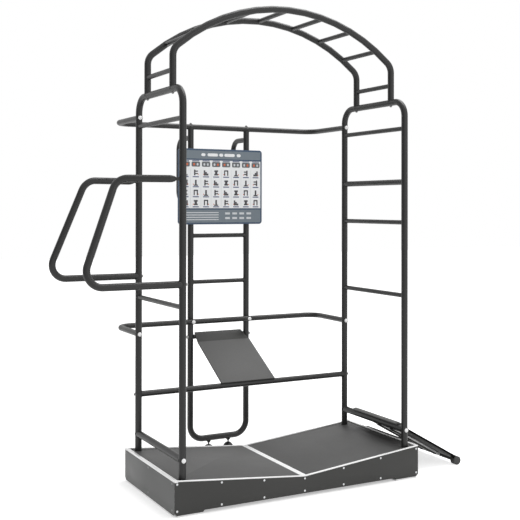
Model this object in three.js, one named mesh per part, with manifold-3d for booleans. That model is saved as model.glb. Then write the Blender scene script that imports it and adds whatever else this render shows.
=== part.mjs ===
// Stretching rack: bent tube frames, an arch of rungs and hand rails on a shallow V platform.
// Millimetres, +Z up. The origin is on the floor under the middle of the platform.
// +X runs to the right along the platform, +Y to the back.

import * as THREE from 'three';
import { mergeVertices } from 'three/addons/utils/BufferGeometryUtils.js';
import Module from 'manifold-3d';

const wasm = await Module();
wasm.setup();

// Fits and facets
const clearance = 0.3;
const cutOverrun = 10;
const turningGap = 0.6;
const tubeSides = 16;
const rungSides = 12;
const cornerSteps = 6;
const archSteps = 18;
const loopSteps = 5;
const hookSteps = 8;

// Tube diameters
const postTube = 33.7;
const wrapTube = 29.5;
const rungTube = 23.5;

// Side frames: their places of rungs and rails are shares of the frame's height
const frameSpan = 1250;
const frameDepth = 568;
const frameTop = 1953.5;
const frameCornerRadius = 80;
const lowRungRise = 82;
const thighRungShare = 0.4809;
const chestRungShare = 0.6756;
const barRungShare = 0.7834;
const headRungShare = 0.9261;

// Arch
const archRailSpacing = 326;
const archLegHeight = 157;
const archRise = 274;
const archBendRadius = 70;
const archLegRungShare = 0.58;
const archRungShares = [-0.863, -0.587, -0.297, 0, 0.317, 0.587, 0.863];

// Rails round the back
const upperWrapShare = 0.9488;
const lowerWrapShare = 0.3837;
const midBarShare = 0.227;
const wrapCornerRadius = 80;

// Rear ladder: its rungs are shares of the upper rail's height
const rearStandoff = 366;
const rearSpan = 354;
const rearBottomHeight = 76.5;
const rearCornerRadius = 77;
const rearRungShares = [0.5241, 0.666, 0.808];

// Rear grips
const gripTopShare = 0.9666;
const gripBottomShare = 0.7723;
const gripReach = 172;
const gripBendRadius = 65;

// Dip handles
const dipTopShare = 0.7804;
const dipBottomShare = 0.5352;
const dipTopReach = 297;
const dipBottomReach = 483;
const dipToeIn = 57;
const dipBendRadius = 72;
const dipNeckLength = 17;
const dipNeckDiameter = 16;

// Sign board
const signWidth = 529;
const signHeight = 430;
const signThickness = 14;
const signBottomShare = 0.701;
const signCornerRadius = 18;

// Slant board
const slantRise = 217;
const slantRodDiameter = 16;
const slantRodNub = 7;
const slantSleeveWall = 3.9;
const slantWeldDepth = 3.5;
const slantPlateThickness = 6;
const slantSideLap = 1;
const slantNeckGap = 14;
const slantNeckStart = 71;
const slantNeckEnd = 26;
const slantUpperLip = 22;
const slantLowerLip = 4;
const slantTreadThickness = 3;
const slantTreadUpperEdge = 71;

// Platform
const platformSideMargin = 44;
const platformEndMargin = 56;
const valleyHeight = 99.5;
const endHeight = 161.5;
const trimWidth = 12;
const trimHeight = 5;
const matThickness = 4.5;
const deckThickness = 12;
const skirtThickness = 3;
const skirtMiddleLift = 15;
const skirtCornerLength = 142;
const skirtChamfer = 12;
const valleyStripWidth = 30;
const postHoleGap = 1;

// Frame inside the platform
const bearerWidth = 20;
const bearerHeight = 40;
const legWidth = 30;
const legInset = 36;
const endRailWidth = 50;
const endRailBottom = 20;
const endRailTop = 60;
const socketHeadroom = 20;
const socketWall = 5.7;
const crossRailShare = 0.5;
const crossRailWidth = 30;
const crossRailHeight = 20;
const valleyRailBottom = 38;
const padThickness = 7;
const padInset = 14;
const padFaceInset = 2;
const footBaseRadius = 25;
const footBaseThickness = 8;
const footStemRadius = 8;

// Levelling feet
const levelFootSpacing = 124;
const levelPadRadius = 30;
const levelPadRim = 5;
const levelPadHeight = 40;
const levelStemRadius = 4;
const levelCollarRadius = 12;
const levelCollarHeight = 12;
const levelBoreDepth = 22;

// Sloped board on the right
const rampRun = 389;
const rampFrontGap = 36.5;
const rampRearGap = 92.5;
const rampThickness = 22;
const rampBoardRise = 2;
const rampHookThickness = 9.5;
const rampHookLength = 45;
const rampHookInnerAngle = 40;
const rampBoardMargin = 5.4;
const rampFootDiameter = 46;
const rampFootOverhang = 8;
const rampCapRounding = 12;
const rampStripWidth = 40;
const rampStripThickness = 5;
const rampStripMargin = 40;
const rampStripFrontShare = 0.324;
const rampStripRearShare = 0.613;

// Bumper on the right end panel
const bumperDepth = 15;
const bumperHeight = 22;
const bumperLength = 400;
const bumperCentre = -50;

// Radii and half sizes
const postRadius = postTube / 2;
const wrapRadius = wrapTube / 2;
const rungRadius = rungTube / 2;
const cutRadius = postRadius + clearance;
const frameX = frameSpan / 2;
const frameY = frameDepth / 2;
const rearX = rearSpan / 2;
const rearY = frameY + rearStandoff;
const archY = archRailSpacing / 2;
const halfLength = frameX + platformEndMargin;
const halfDepth = frameY + platformSideMargin;

// Heights on the side frames
const lowRungHeight = endHeight + lowRungRise;
const upperWrapHeight = frameTop * upperWrapShare;
const lowerWrapHeight = frameTop * lowerWrapShare;
const midBarHeight = frameTop * midBarShare;
const slantHingeHeight = midBarHeight + slantRise;

// Levels of the platform, all at the valley
const deckSlope = (endHeight - valleyHeight) / halfLength;
const trimBottom = valleyHeight - trimHeight;
const deckTop = trimBottom - clearance;
const deckBottom = deckTop - deckThickness;
const bearerTop = deckBottom - clearance;
const skirtCornerLift = padThickness + clearance;
const innerDepth = halfDepth - skirtThickness - clearance;
const innerLength = halfLength - skirtThickness - clearance;
const bearerY = innerDepth - bearerWidth / 2;

// Finishes
function finish(color, roughness, metalness) {
  return new THREE.MeshStandardMaterial({ color, roughness, metalness });
}
const tubePaint = finish(0x46464a, 0.45, 0.3);
const platePaint = finish(0x484846, 0.5, 0.3);
const endPaint = finish(0x787a79, 0.5, 0.3);
const matRubber = finish(0x6a6a6a, 0.85, 0);
const treadRubber = finish(0x6e6e6e, 0.9, 0);
const whitePlastic = finish(0xf0f0f0, 0.5, 0);
const darkRubber = finish(0x2a2a2a, 0.8, 0);
const frameSteel = finish(0x303032, 0.6, 0.4);
const signFace = finish(0xb9c0c8, 0.4, 0);
const aluminium = finish(0xc9cbcc, 0.35, 0.9);
const footSteel = finish(0x2c2c2e, 0.5, 0.5);

// A path through given points whose sections stand on the mitre planes between them
class Route extends THREE.Curve {
  constructor(points) {
    super();
    this.points = points;
  }

  getPoint(t, target = new THREE.Vector3()) {
    const last = this.points.length - 1;
    const index = Math.min(Math.floor(t * last), last - 1);
    return target.lerpVectors(this.points[index], this.points[index + 1], t * last - index);
  }

  getPointAt(u, target) {
    return this.getPoint(u, target);
  }

  getSpacedPoints() {
    return this.points;
  }

  getTangentAt(u, target = new THREE.Vector3()) {
    const last = this.points.length - 1;
    const index = Math.round(u * last);
    const here = this.points[index];
    const before = this.points[Math.max(index - 1, 0)];
    const after = this.points[Math.min(index + 1, last)];
    const arriving = here.clone().sub(before).normalize();
    const leaving = after.clone().sub(here).normalize();
    return target.copy(arriving).add(leaving).normalize();
  }
}

// Points of a polyline whose inner corners are rounded to one radius
function rounded(corners, radius, steps) {
  const points = [corners[0]];
  for (let i = 1; i < corners.length - 1; i += 1) {
    const corner = corners[i];
    const back = corners[i - 1].clone().sub(corner).normalize();
    const ahead = corners[i + 1].clone().sub(corner).normalize();
    const halfAngle = back.angleTo(ahead) / 2;
    const start = corner.clone().addScaledVector(back, radius / Math.tan(halfAngle));
    const middle = back.clone().add(ahead).normalize();
    const centre = corner.clone().addScaledVector(middle, radius / Math.sin(halfAngle));
    const axis = back.clone().cross(ahead).normalize();
    for (let k = 0; k <= steps; k += 1) {
      const turn = -(Math.PI - 2 * halfAngle) * k / steps;
      points.push(start.clone().sub(centre).applyAxisAngle(axis, turn).add(centre));
    }
  }
  points.push(corners[corners.length - 1]);
  return points;
}

function roundSection(radius, sides) {
  const section = new THREE.Shape();
  for (let i = 0; i < sides; i += 1) {
    const angle = 2 * Math.PI * i / sides;
    const method = i === 0 ? 'moveTo' : 'lineTo';
    section[method](radius * Math.cos(angle), radius * Math.sin(angle));
  }
  return section;
}

function tube(points, radius, sides) {
  return new THREE.ExtrudeGeometry(roundSection(radius, sides), {
    steps: points.length - 1,
    extrudePath: new Route(points),
  });
}

function at(x, y, z) {
  return new THREE.Vector3(x, y, z);
}

function barAlongY(x, z, radius, from, to, sides) {
  const bar = new THREE.CylinderGeometry(radius, radius, to - from, sides);
  return bar.translate(x, (from + to) / 2, z);
}

function barAlongX(y, z, radius, from, to, sides) {
  const bar = new THREE.CylinderGeometry(radius, radius, to - from, sides);
  return bar.rotateZ(Math.PI / 2).translate((from + to) / 2, y, z);
}

function barAlongZ(x, y, radius, from, to, sides) {
  const bar = new THREE.CylinderGeometry(radius, radius, to - from, sides);
  return bar.rotateX(Math.PI / 2).translate(x, y, (from + to) / 2);
}

function box(xFrom, xTo, yFrom, yTo, zFrom, zTo) {
  const block = new THREE.BoxGeometry(xTo - xFrom, yTo - yFrom, zTo - zFrom);
  return block.translate((xFrom + xTo) / 2, (yFrom + yTo) / 2, (zFrom + zTo) / 2);
}

function outline(points) {
  return new THREE.Shape(points.map(([x, y]) => new THREE.Vector2(x, y)));
}

// An outline drawn in X and Z, given a thickness along Y
function plateAlongY(shape, yFrom, yTo) {
  const plate = new THREE.ExtrudeGeometry(shape, { depth: yTo - yFrom, bevelEnabled: false });
  return plate.rotateX(Math.PI / 2).translate(0, yTo, 0);
}

// An outline drawn in Y and Z, given a thickness along X
function plateAlongX(shape, xFrom, xTo) {
  const plate = new THREE.ExtrudeGeometry(shape, { depth: xTo - xFrom, bevelEnabled: false });
  return plate.rotateX(Math.PI / 2).rotateZ(Math.PI / 2).translate(xFrom, 0, 0);
}

// A plan outline of the right half, raised by the slope of the deck
function slopedPlate(shape, bottom, thickness) {
  const plate = new THREE.ExtrudeGeometry(shape, { depth: thickness, bevelEnabled: false });
  const shear = new THREE.Matrix4().set(
    1, 0, 0, 0,
    0, 1, 0, 0,
    deckSlope, 0, 1, bottom,
    0, 0, 0, 1,
  );
  return plate.applyMatrix4(shear);
}

function solid(geometry) {
  const bare = geometry.clone();
  bare.deleteAttribute('normal');
  bare.deleteAttribute('uv');
  const merged = mergeVertices(bare);
  return new wasm.Manifold(new wasm.Mesh({
    numProp: 3,
    vertProperties: new Float32Array(merged.attributes.position.array),
    triVerts: new Uint32Array(merged.index.array),
  }));
}

function geometryOf(body) {
  const { vertProperties, triVerts } = body.getMesh();
  const geometry = new THREE.BufferGeometry();
  geometry.setAttribute('position', new THREE.BufferAttribute(vertProperties, 3));
  geometry.setIndex(new THREE.BufferAttribute(triVerts, 1));
  geometry.computeVertexNormals();
  return geometry;
}

function cut(geometry, ...tools) {
  return geometryOf(tools.reduce((body, tool) => body.subtract(solid(tool)), solid(geometry)));
}

function joined(...parts) {
  return geometryOf(parts.map(solid).reduce((body, part) => body.add(part)));
}

const rack = new THREE.Group();

function add(name, geometry, material) {
  const mesh = new THREE.Mesh(geometry, material);
  mesh.name = name;
  rack.add(mesh);
  return mesh;
}

// Heights on the V of the deck
function alongSlope(base, x) {
  return base + deckSlope * Math.abs(x);
}

// Side frames
function sideFrame(x, radius) {
  const corners = [
    at(x, -frameY, endRailTop + clearance),
    at(x, -frameY, frameTop),
    at(x, frameY, frameTop),
    at(x, frameY, endRailTop + clearance),
  ];
  return tube(rounded(corners, frameCornerRadius, cornerSteps), radius, tubeSides);
}

const leftFrameTool = sideFrame(-frameX, cutRadius);
const rightFrameTool = sideFrame(frameX, cutRadius);

function frameRung(x, height, diameter, tool) {
  return cut(barAlongY(x, height, diameter / 2, -frameY, frameY, rungSides), tool);
}

add('side_frame_left', sideFrame(-frameX, postRadius), tubePaint);
add('side_frame_right', sideFrame(frameX, postRadius), tubePaint);

const leftRungs = [
  ['low', lowRungHeight, postTube],
  ['thigh', frameTop * thighRungShare, rungTube],
  ['head', frameTop * headRungShare, rungTube],
];
for (const [place, height, diameter] of leftRungs) {
  const rung = frameRung(-frameX, height, diameter, leftFrameTool);
  add(`left_rung_${place}`, rung, tubePaint);
}

const rightRungs = [
  ['low', lowRungHeight, postTube],
  ['thigh', frameTop * thighRungShare, rungTube],
  ['chest', frameTop * chestRungShare, rungTube],
  ['bar', frameTop * barRungShare, wrapTube],
  ['head', frameTop * headRungShare, rungTube],
];
for (const [place, height, diameter] of rightRungs) {
  const rung = frameRung(frameX, height, diameter, rightFrameTool);
  add(`right_rung_${place}`, rung, tubePaint);
}

// Arch: one large arc that meets a small bend at the top of each leg
const archBendX = frameX - archBendRadius;
const archBendZ = frameTop + archLegHeight;
const archRadius = (archBendX ** 2 + archRise ** 2 - archBendRadius ** 2)
  / (2 * (archRise - archBendRadius));
const archCentreHeight = archBendZ + archRise - archRadius;
const archMeetAngle = Math.asin(archBendX / (archRadius - archBendRadius));

function archPoint(y, angle, radius, centreX, centreZ) {
  return at(centreX + radius * Math.sin(angle), y, centreZ + radius * Math.cos(angle));
}

function archRail(y, radius) {
  const legStart = frameTop + postRadius / 2;
  const bendSweep = Math.PI / 2 - archMeetAngle;
  const points = [at(-frameX, y, legStart)];
  for (let k = 0; k < cornerSteps; k += 1) {
    const angle = -Math.PI / 2 + bendSweep * k / cornerSteps;
    points.push(archPoint(y, angle, archBendRadius, -archBendX, archBendZ));
  }
  for (let k = 0; k <= archSteps; k += 1) {
    const angle = archMeetAngle * (2 * k / archSteps - 1);
    points.push(archPoint(y, angle, archRadius, 0, archCentreHeight));
  }
  for (let k = 1; k <= cornerSteps; k += 1) {
    const angle = archMeetAngle + bendSweep * k / cornerSteps;
    points.push(archPoint(y, angle, archBendRadius, archBendX, archBendZ));
  }
  points.push(at(frameX, y, legStart));
  return tube(points, radius, tubeSides);
}

const archTools = [archRail(-archY, cutRadius), archRail(archY, cutRadius)];
add('arch_rail_front', cut(archRail(-archY, postRadius), leftFrameTool, rightFrameTool), tubePaint);
add('arch_rail_rear', cut(archRail(archY, postRadius), leftFrameTool, rightFrameTool), tubePaint);

function archRung(x, z) {
  return cut(barAlongY(x, z, rungRadius, -archY, archY, rungSides), ...archTools);
}

const archLegRungHeight = frameTop + archLegHeight * archLegRungShare;
add('arch_leg_rung_left', archRung(-frameX, archLegRungHeight), tubePaint);
add('arch_leg_rung_right', archRung(frameX, archLegRungHeight), tubePaint);
archRungShares.forEach((share, i) => {
  const place = archPoint(0, archMeetAngle * share, archRadius, 0, archCentreHeight);
  add(`arch_rung_${i + 1}`, archRung(place.x, place.z), tubePaint);
});

// Rails round the back
const lowerWrapY = rearY - postRadius - wrapRadius - clearance;

function wrapRail(height, back, radius) {
  const corners = [
    at(-frameX, frameY, height),
    at(-frameX, back, height),
    at(frameX, back, height),
    at(frameX, frameY, height),
  ];
  return tube(rounded(corners, wrapCornerRadius, cornerSteps), radius, tubeSides);
}

function fixedWrapRail(height, back) {
  return cut(wrapRail(height, back, wrapRadius), leftFrameTool, rightFrameTool);
}

add('upper_wrap_rail', fixedWrapRail(upperWrapHeight, rearY), tubePaint);
add('lower_wrap_rail', fixedWrapRail(lowerWrapHeight, lowerWrapY), tubePaint);

const midBar = barAlongX(frameY, midBarHeight, wrapRadius, -frameX, frameX, tubeSides);
add('mid_bar', cut(midBar, leftFrameTool, rightFrameTool), tubePaint);

// Rear ladder: a U of tube under the upper wrap rail, bored for the slant rod and the feet
function rearFrame(radius) {
  const corners = [
    at(-rearX, rearY, upperWrapHeight),
    at(-rearX, rearY, rearBottomHeight),
    at(rearX, rearY, rearBottomHeight),
    at(rearX, rearY, upperWrapHeight),
  ];
  return tube(rounded(corners, rearCornerRadius, cornerSteps), radius, tubeSides);
}

function boreRadius(radius, gap, sides) {
  return (radius + gap) / Math.cos(Math.PI / sides);
}

const feetPlaces = [['left', -levelFootSpacing / 2], ['right', levelFootSpacing / 2]];
const levelBoreBottom = rearBottomHeight - postRadius;

function rearFrameBores() {
  const rodBore = boreRadius(slantRodDiameter / 2, clearance, rungSides);
  const reach = rearX + postTube;
  const bores = [barAlongX(rearY, slantHingeHeight, rodBore, -reach, reach, rungSides)];
  const stemBore = boreRadius(levelStemRadius, turningGap, rungSides);
  for (const [, x] of feetPlaces) {
    const top = levelBoreBottom + levelBoreDepth + clearance;
    bores.push(barAlongZ(x, rearY, stemBore, levelBoreBottom - cutOverrun, top, rungSides));
  }
  return bores;
}

const rearFrameTool = rearFrame(cutRadius);
const upperWrapTool = wrapRail(upperWrapHeight, rearY, wrapRadius + clearance);
const rearFrameSolid = cut(rearFrame(postRadius), upperWrapTool, ...rearFrameBores());
add('rear_ladder_frame', rearFrameSolid, tubePaint);

rearRungShares.forEach((share, i) => {
  const height = upperWrapHeight * share;
  const rung = barAlongX(rearY, height, rungRadius, -rearX, rearX, rungSides);
  add(`rear_rung_${i + 1}`, cut(rung, rearFrameTool), tubePaint);
});

// Rear grips: loops standing back from the rear posts
function rearGrip(x) {
  const top = upperWrapHeight * gripTopShare;
  const bottom = upperWrapHeight * gripBottomShare;
  const corners = [
    at(x, rearY, top),
    at(x, rearY + gripReach, top),
    at(x, rearY + gripReach, bottom),
    at(x, rearY, bottom),
  ];
  const loop = tube(rounded(corners, gripBendRadius, loopSteps), wrapRadius, tubeSides);
  return cut(loop, rearFrameTool);
}

add('rear_grip_left', rearGrip(-rearX), tubePaint);
add('rear_grip_right', rearGrip(rearX), tubePaint);

// Dip handles: loops standing out from the left frame, whose tops toe in and end in a neck
function dipHandle(side) {
  const bottom = frameTop * dipBottomShare;
  const topPoint = (reach) => at(
    -frameX - reach, side * (frameY - dipToeIn * reach / dipTopReach), frameTop * dipTopShare,
  );
  const neckEnd = postRadius + dipNeckLength;
  const corners = [
    topPoint(neckEnd),
    topPoint(dipTopReach),
    at(-frameX - dipBottomReach, side * frameY, bottom),
    at(-frameX, side * frameY, bottom),
  ];
  const loop = tube(rounded(corners, dipBendRadius, loopSteps), postRadius, tubeSides);
  const neckPath = [topPoint(0), topPoint(neckEnd + dipNeckDiameter)];
  return cut(joined(loop, tube(neckPath, dipNeckDiameter / 2, rungSides)), leftFrameTool);
}

add('dip_handle_front', dipHandle(-1), tubePaint);
add('dip_handle_rear', dipHandle(1), tubePaint);

// Sign board on the front of the rear posts
function signBoard() {
  const half = signWidth / 2 - signCornerRadius;
  const low = upperWrapHeight * signBottomShare + signCornerRadius;
  const high = low + signHeight - 2 * signCornerRadius;
  const shape = new THREE.Shape();
  const turn = Math.PI / 2;
  shape.absarc(half, high, signCornerRadius, 0, turn, false);
  shape.absarc(-half, high, signCornerRadius, turn, 2 * turn, false);
  shape.absarc(-half, low, signCornerRadius, 2 * turn, 3 * turn, false);
  shape.absarc(half, low, signCornerRadius, 3 * turn, 4 * turn, false);
  const back = rearY - postRadius - clearance;
  const board = new THREE.ExtrudeGeometry(shape, {
    depth: signThickness,
    bevelEnabled: false,
    curveSegments: cornerSteps,
  });
  return board.rotateX(Math.PI / 2).translate(0, back, 0);
}

add('sign_board', signBoard(), signFace);

// Slant board: hung on a rod through the rear posts, its lower edge resting on the mid bar
const slantRodRadius = slantRodDiameter / 2;
const slantSleeveRadius = slantRodRadius + turningGap + slantSleeveWall;
const slantHingeDrop = slantSleeveRadius - slantWeldDepth;
const slantHold = wrapRadius + clearance - slantHingeDrop;
const slantAngle = Math.atan2(slantRise, rearStandoff)
  - Math.asin(slantHold / Math.hypot(rearStandoff, slantRise));
const slantRestPlace = rearStandoff * Math.cos(slantAngle) + slantRise * Math.sin(slantAngle);
const slantLowerEdge = slantRestPlace + slantLowerLip;

// Turns a piece drawn flat, with the hinge at the origin and its lower end toward -Y
function onSlant(geometry) {
  return geometry.rotateX(slantAngle).translate(0, rearY, slantHingeHeight);
}

const slantHalfWidth = rearX - postRadius + slantSideLap;

function slantPlate() {
  const half = slantHalfWidth;
  const neck = rearX - postRadius - slantNeckGap;
  const shape = outline([
    [-half, -slantLowerEdge],
    [half, -slantLowerEdge],
    [half, -slantNeckStart],
    [neck, -slantNeckEnd],
    [neck, slantUpperLip],
    [-neck, slantUpperLip],
    [-neck, -slantNeckEnd],
    [-half, -slantNeckStart],
  ]);
  const depth = slantPlateThickness;
  const plate = new THREE.ExtrudeGeometry(shape, { depth, bevelEnabled: false });
  return plate.translate(0, 0, slantHingeDrop);
}

const sleeveEnd = rearX - postRadius - turningGap;

function slantBoard() {
  const sleeve = barAlongX(0, 0, slantSleeveRadius, -sleeveEnd, sleeveEnd, tubeSides);
  const bore = boreRadius(slantRodRadius, turningGap, rungSides);
  const reach = sleeveEnd + cutOverrun;
  const body = joined(slantPlate(), sleeve);
  return onSlant(cut(body, barAlongX(0, 0, bore, -reach, reach, rungSides)));
}

function slantTread() {
  const bottom = slantHingeDrop + slantPlateThickness + clearance;
  const half = slantHalfWidth;
  const top = bottom + slantTreadThickness;
  return onSlant(box(-half, half, -slantLowerEdge, -slantTreadUpperEdge, bottom, top));
}

const rodHalf = rearX + postRadius + slantRodNub;
const slantRod = barAlongX(
  rearY, slantHingeHeight, slantRodRadius, -rodHalf, rodHalf, rungSides,
);
add('slant_rod', slantRod, footSteel);
add('slant_board', slantBoard(), platePaint);
add('slant_tread', slantTread(), treadRubber);

// Frame inside the platform
function bearer(y) {
  const end = innerLength;
  const shape = outline([
    [-end, alongSlope(bearerTop - bearerHeight, end)],
    [0, bearerTop - bearerHeight],
    [end, alongSlope(bearerTop - bearerHeight, end)],
    [end, alongSlope(bearerTop, end)],
    [0, bearerTop],
    [-end, alongSlope(bearerTop, end)],
  ]);
  return plateAlongY(shape, y - bearerWidth / 2, y + bearerWidth / 2);
}

function crossRail(x) {
  const inner = Math.abs(x) - crossRailWidth / 2;
  const top = alongSlope(bearerTop, inner);
  const bottom = top - crossRailHeight;
  const from = x - crossRailWidth / 2;
  return box(from, from + crossRailWidth, -bearerY, bearerY, bottom, top);
}

function endRail(x) {
  const from = x - endRailWidth / 2;
  return box(from, from + endRailWidth, -innerDepth, innerDepth, endRailBottom, endRailTop);
}

function valleyRail() {
  const half = crossRailWidth / 2;
  return box(-half, half, -bearerY, bearerY, valleyRailBottom, bearerTop);
}

function frameLeg(side, y) {
  const x = side * (halfLength - legInset);
  const top = alongSlope(bearerTop - bearerHeight / 2, halfLength - legInset);
  const half = bearerWidth / 2;
  const bottom = padThickness + clearance;
  return box(x - legWidth / 2, x + legWidth / 2, y - half, y + half, bottom, top);
}

const socketRadius = cutRadius + socketWall;
const socketTop = alongSlope(deckBottom, frameX - socketRadius) - socketHeadroom;

function baseFrame() {
  const parts = [bearer(-bearerY), bearer(bearerY), valleyRail()];
  const posts = [];
  for (const side of [-1, 1]) {
    parts.push(crossRail(side * halfLength * crossRailShare), endRail(side * frameX));
    for (const depthSide of [-1, 1]) {
      const y = depthSide * frameY;
      const seat = endRailTop - clearance;
      parts.push(frameLeg(side, depthSide * bearerY));
      parts.push(barAlongZ(side * frameX, y, socketRadius, seat, socketTop, tubeSides));
      const bore = barAlongZ(
        side * frameX, y, cutRadius, endRailTop, socketTop + cutOverrun, tubeSides,
      );
      posts.push(bore);
    }
  }
  return cut(joined(...parts), ...posts);
}

add('base_frame', baseFrame(), frameSteel);

function centreFoot() {
  const profile = [
    [0, 0],
    [footBaseRadius, 0],
    [footBaseRadius, footBaseThickness / 2],
    [footStemRadius, footBaseThickness],
    [footStemRadius, valleyRailBottom - clearance],
    [0, valleyRailBottom - clearance],
  ];
  const points = profile.map(([r, z]) => new THREE.Vector2(r, z));
  return new THREE.LatheGeometry(points, tubeSides).rotateX(Math.PI / 2);
}

add('centre_foot', centreFoot(), footSteel);

function floorPad(side) {
  const near = side * (halfLength - skirtCornerLength);
  const far = side * (halfLength - padInset);
  const y = halfDepth - padFaceInset;
  return box(Math.min(near, far), Math.max(near, far), -y, y, 0, padThickness);
}

add('floor_pad_left', floorPad(-1), whitePlastic);
add('floor_pad_right', floorPad(1), whitePlastic);

// Deck, mats and trims: drawn for the right half, and turned half round for the left one
function rectangle(xFrom, xTo, y) {
  return outline([[xFrom, -y], [xTo, -y], [xTo, y], [xFrom, y]]);
}

function postHoles() {
  const radius = postRadius + postHoleGap;
  return [-frameY, frameY].map((y) => barAlongZ(frameX, y, radius, 0, frameTop / 2, tubeSides));
}

const deckEdge = clearance / 2;
const matDepth = halfDepth - trimWidth - clearance;
const matEnd = halfLength - trimWidth - clearance;
const matStart = valleyStripWidth / 2 + clearance;
const deckShape = rectangle(deckEdge, innerLength, innerDepth);
const deckPlate = cut(slopedPlate(deckShape, deckTop - deckThickness, deckThickness), ...postHoles());
const matShape = rectangle(matStart, matEnd, matDepth);
const matSheet = cut(slopedPlate(matShape, deckTop + clearance, matThickness), ...postHoles());

function trimSheet() {
  const shape = outline([
    [deckEdge, -halfDepth],
    [halfLength, -halfDepth],
    [halfLength, halfDepth],
    [deckEdge, halfDepth],
    [deckEdge, halfDepth - trimWidth],
    [halfLength - trimWidth, halfDepth - trimWidth],
    [halfLength - trimWidth, -halfDepth + trimWidth],
    [deckEdge, -halfDepth + trimWidth],
  ]);
  return slopedPlate(shape, trimBottom, trimHeight);
}

function addHalves(name, geometry, material) {
  add(`${name}_right`, geometry, material);
  add(`${name}_left`, geometry, material).rotation.z = Math.PI;
}

addHalves('deck', deckPlate, platePaint);
addHalves('mat', matSheet, matRubber);
addHalves('trim', trimSheet(), whitePlastic);

function valleyStrip() {
  const half = valleyStripWidth / 2;
  const y = matDepth;
  const bottom = deckTop + clearance;
  const shape = outline([
    [-half, alongSlope(bottom, half)],
    [0, bottom],
    [half, alongSlope(bottom, half)],
    [half, alongSlope(bottom + matThickness, half)],
    [0, bottom + matThickness],
    [-half, alongSlope(bottom + matThickness, half)],
  ]);
  return plateAlongY(shape, -y, y);
}

add('valley_strip', valleyStrip(), whitePlastic);

// Skirts and end panels
function skirt(yFrom) {
  const top = trimBottom - clearance;
  const step = halfLength - skirtCornerLength;
  const rise = skirtMiddleLift - skirtCornerLift;
  const rightSide = [
    [0, skirtMiddleLift],
    [step - rise, skirtMiddleLift],
    [step, skirtCornerLift],
    [halfLength - skirtChamfer, skirtCornerLift],
    [halfLength, skirtCornerLift + skirtChamfer],
    [halfLength, alongSlope(top, halfLength)],
  ];
  const leftSide = rightSide.slice(1).reverse().map(([x, z]) => [-x, z]);
  const shape = outline([...rightSide, [0, top], ...leftSide]);
  return plateAlongY(shape, yFrom, yFrom + skirtThickness);
}

function endPanel(xFrom) {
  const top = alongSlope(trimBottom - clearance, halfLength - skirtThickness);
  const bottom = skirtCornerLift;
  const shape = outline([
    [-innerDepth, bottom + skirtChamfer],
    [-innerDepth + skirtChamfer, bottom],
    [innerDepth - skirtChamfer, bottom],
    [innerDepth, bottom + skirtChamfer],
    [innerDepth, top],
    [-innerDepth, top],
  ]);
  return plateAlongX(shape, xFrom, xFrom + skirtThickness);
}

add('front_skirt', skirt(-halfDepth), platePaint);
add('rear_skirt', skirt(halfDepth - skirtThickness), platePaint);
add('left_end_panel', endPanel(-halfLength), endPaint);
add('right_end_panel', endPanel(halfLength - skirtThickness), platePaint);

// Levelling feet: a bell pad, a collar under the tube and a screw that runs up into it
function levellingFoot(x) {
  const collarTop = levelBoreBottom - turningGap;
  const collarBottom = collarTop - levelCollarHeight;
  const bell = [];
  for (let k = 0; k <= loopSteps; k += 1) {
    const angle = Math.PI / 2 * k / loopSteps;
    const r = Math.max(levelStemRadius, levelPadRadius * Math.cos(angle));
    bell.push([r, levelPadRim + (levelPadHeight - levelPadRim) * Math.sin(angle)]);
  }
  const profile = [
    [0, 0],
    [levelPadRadius, 0],
    ...bell,
    [levelStemRadius, collarBottom],
    [levelCollarRadius, collarTop],
    [levelStemRadius, collarTop],
    [levelStemRadius, levelBoreBottom + levelBoreDepth],
    [0, levelBoreBottom + levelBoreDepth],
  ];
  const points = profile.map(([r, z]) => new THREE.Vector2(r, z));
  const foot = new THREE.LatheGeometry(points, tubeSides).rotateX(Math.PI / 2);
  return foot.translate(x, rearY, 0);
}

for (const [side, x] of feetPlaces) {
  add(`levelling_foot_${side}`, levellingFoot(x), footSteel);
}

// Sloped board on the right: hooked over the low rung, its foot tube on the floor
const rampFootRadius = rampFootDiameter / 2;
const rampFootPlace = frameX + rampRun;
const rampDrop = lowRungHeight - rampFootRadius;
const rampAngle = Math.atan2(rampDrop, rampRun);

// Turns a piece drawn level, with the rung's axis at the origin and the foot toward +X
function onRamp(geometry) {
  return geometry.rotateY(rampAngle).translate(frameX, 0, lowRungHeight);
}

const rampFrom = -frameY + postRadius + rampFrontGap;
const rampTo = frameY - postRadius - rampRearGap;
const rampFootReach = Math.hypot(rampRun, rampDrop);

const hookInner = postRadius + turningGap;
const hookOuter = hookInner + rampHookThickness;
const rampTop = hookInner + rampBoardRise;
const rampBottom = rampTop - rampThickness;
const rampStart = hookInner + rampBoardMargin;

function rampBoard() {
  const overFrom = rampFrom - cutOverrun;
  const overTo = rampTo + cutOverrun;
  const board = box(rampStart, rampFootReach, rampFrom, rampTo, rampBottom, rampTop);
  const footTool = barAlongY(
    rampFootPlace, rampFootRadius, rampFootRadius + clearance, overFrom, overTo, tubeSides,
  );
  const hookSeat = box(
    rampStart - cutOverrun, rampHookLength + clearance, overFrom, overTo,
    hookInner - clearance, rampTop + cutOverrun,
  );
  return cut(onRamp(cut(board, hookSeat)), footTool);
}

function rampHook() {
  const wrap = rampAngle + THREE.MathUtils.degToRad(rampHookInnerAngle);
  const inner = [];
  const outer = [];
  for (let k = 0; k <= hookSteps; k += 1) {
    const angle = wrap * k / hookSteps;
    inner.push([-hookInner * Math.sin(angle), hookInner * Math.cos(angle)]);
    outer.push([-hookOuter * Math.sin(angle), hookOuter * Math.cos(angle)]);
  }
  const shape = outline([
    [rampHookLength, hookInner],
    ...inner,
    ...outer.reverse(),
    [rampHookLength, hookOuter],
  ]);
  return onRamp(plateAlongY(shape, rampFrom, rampTo));
}

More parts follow.
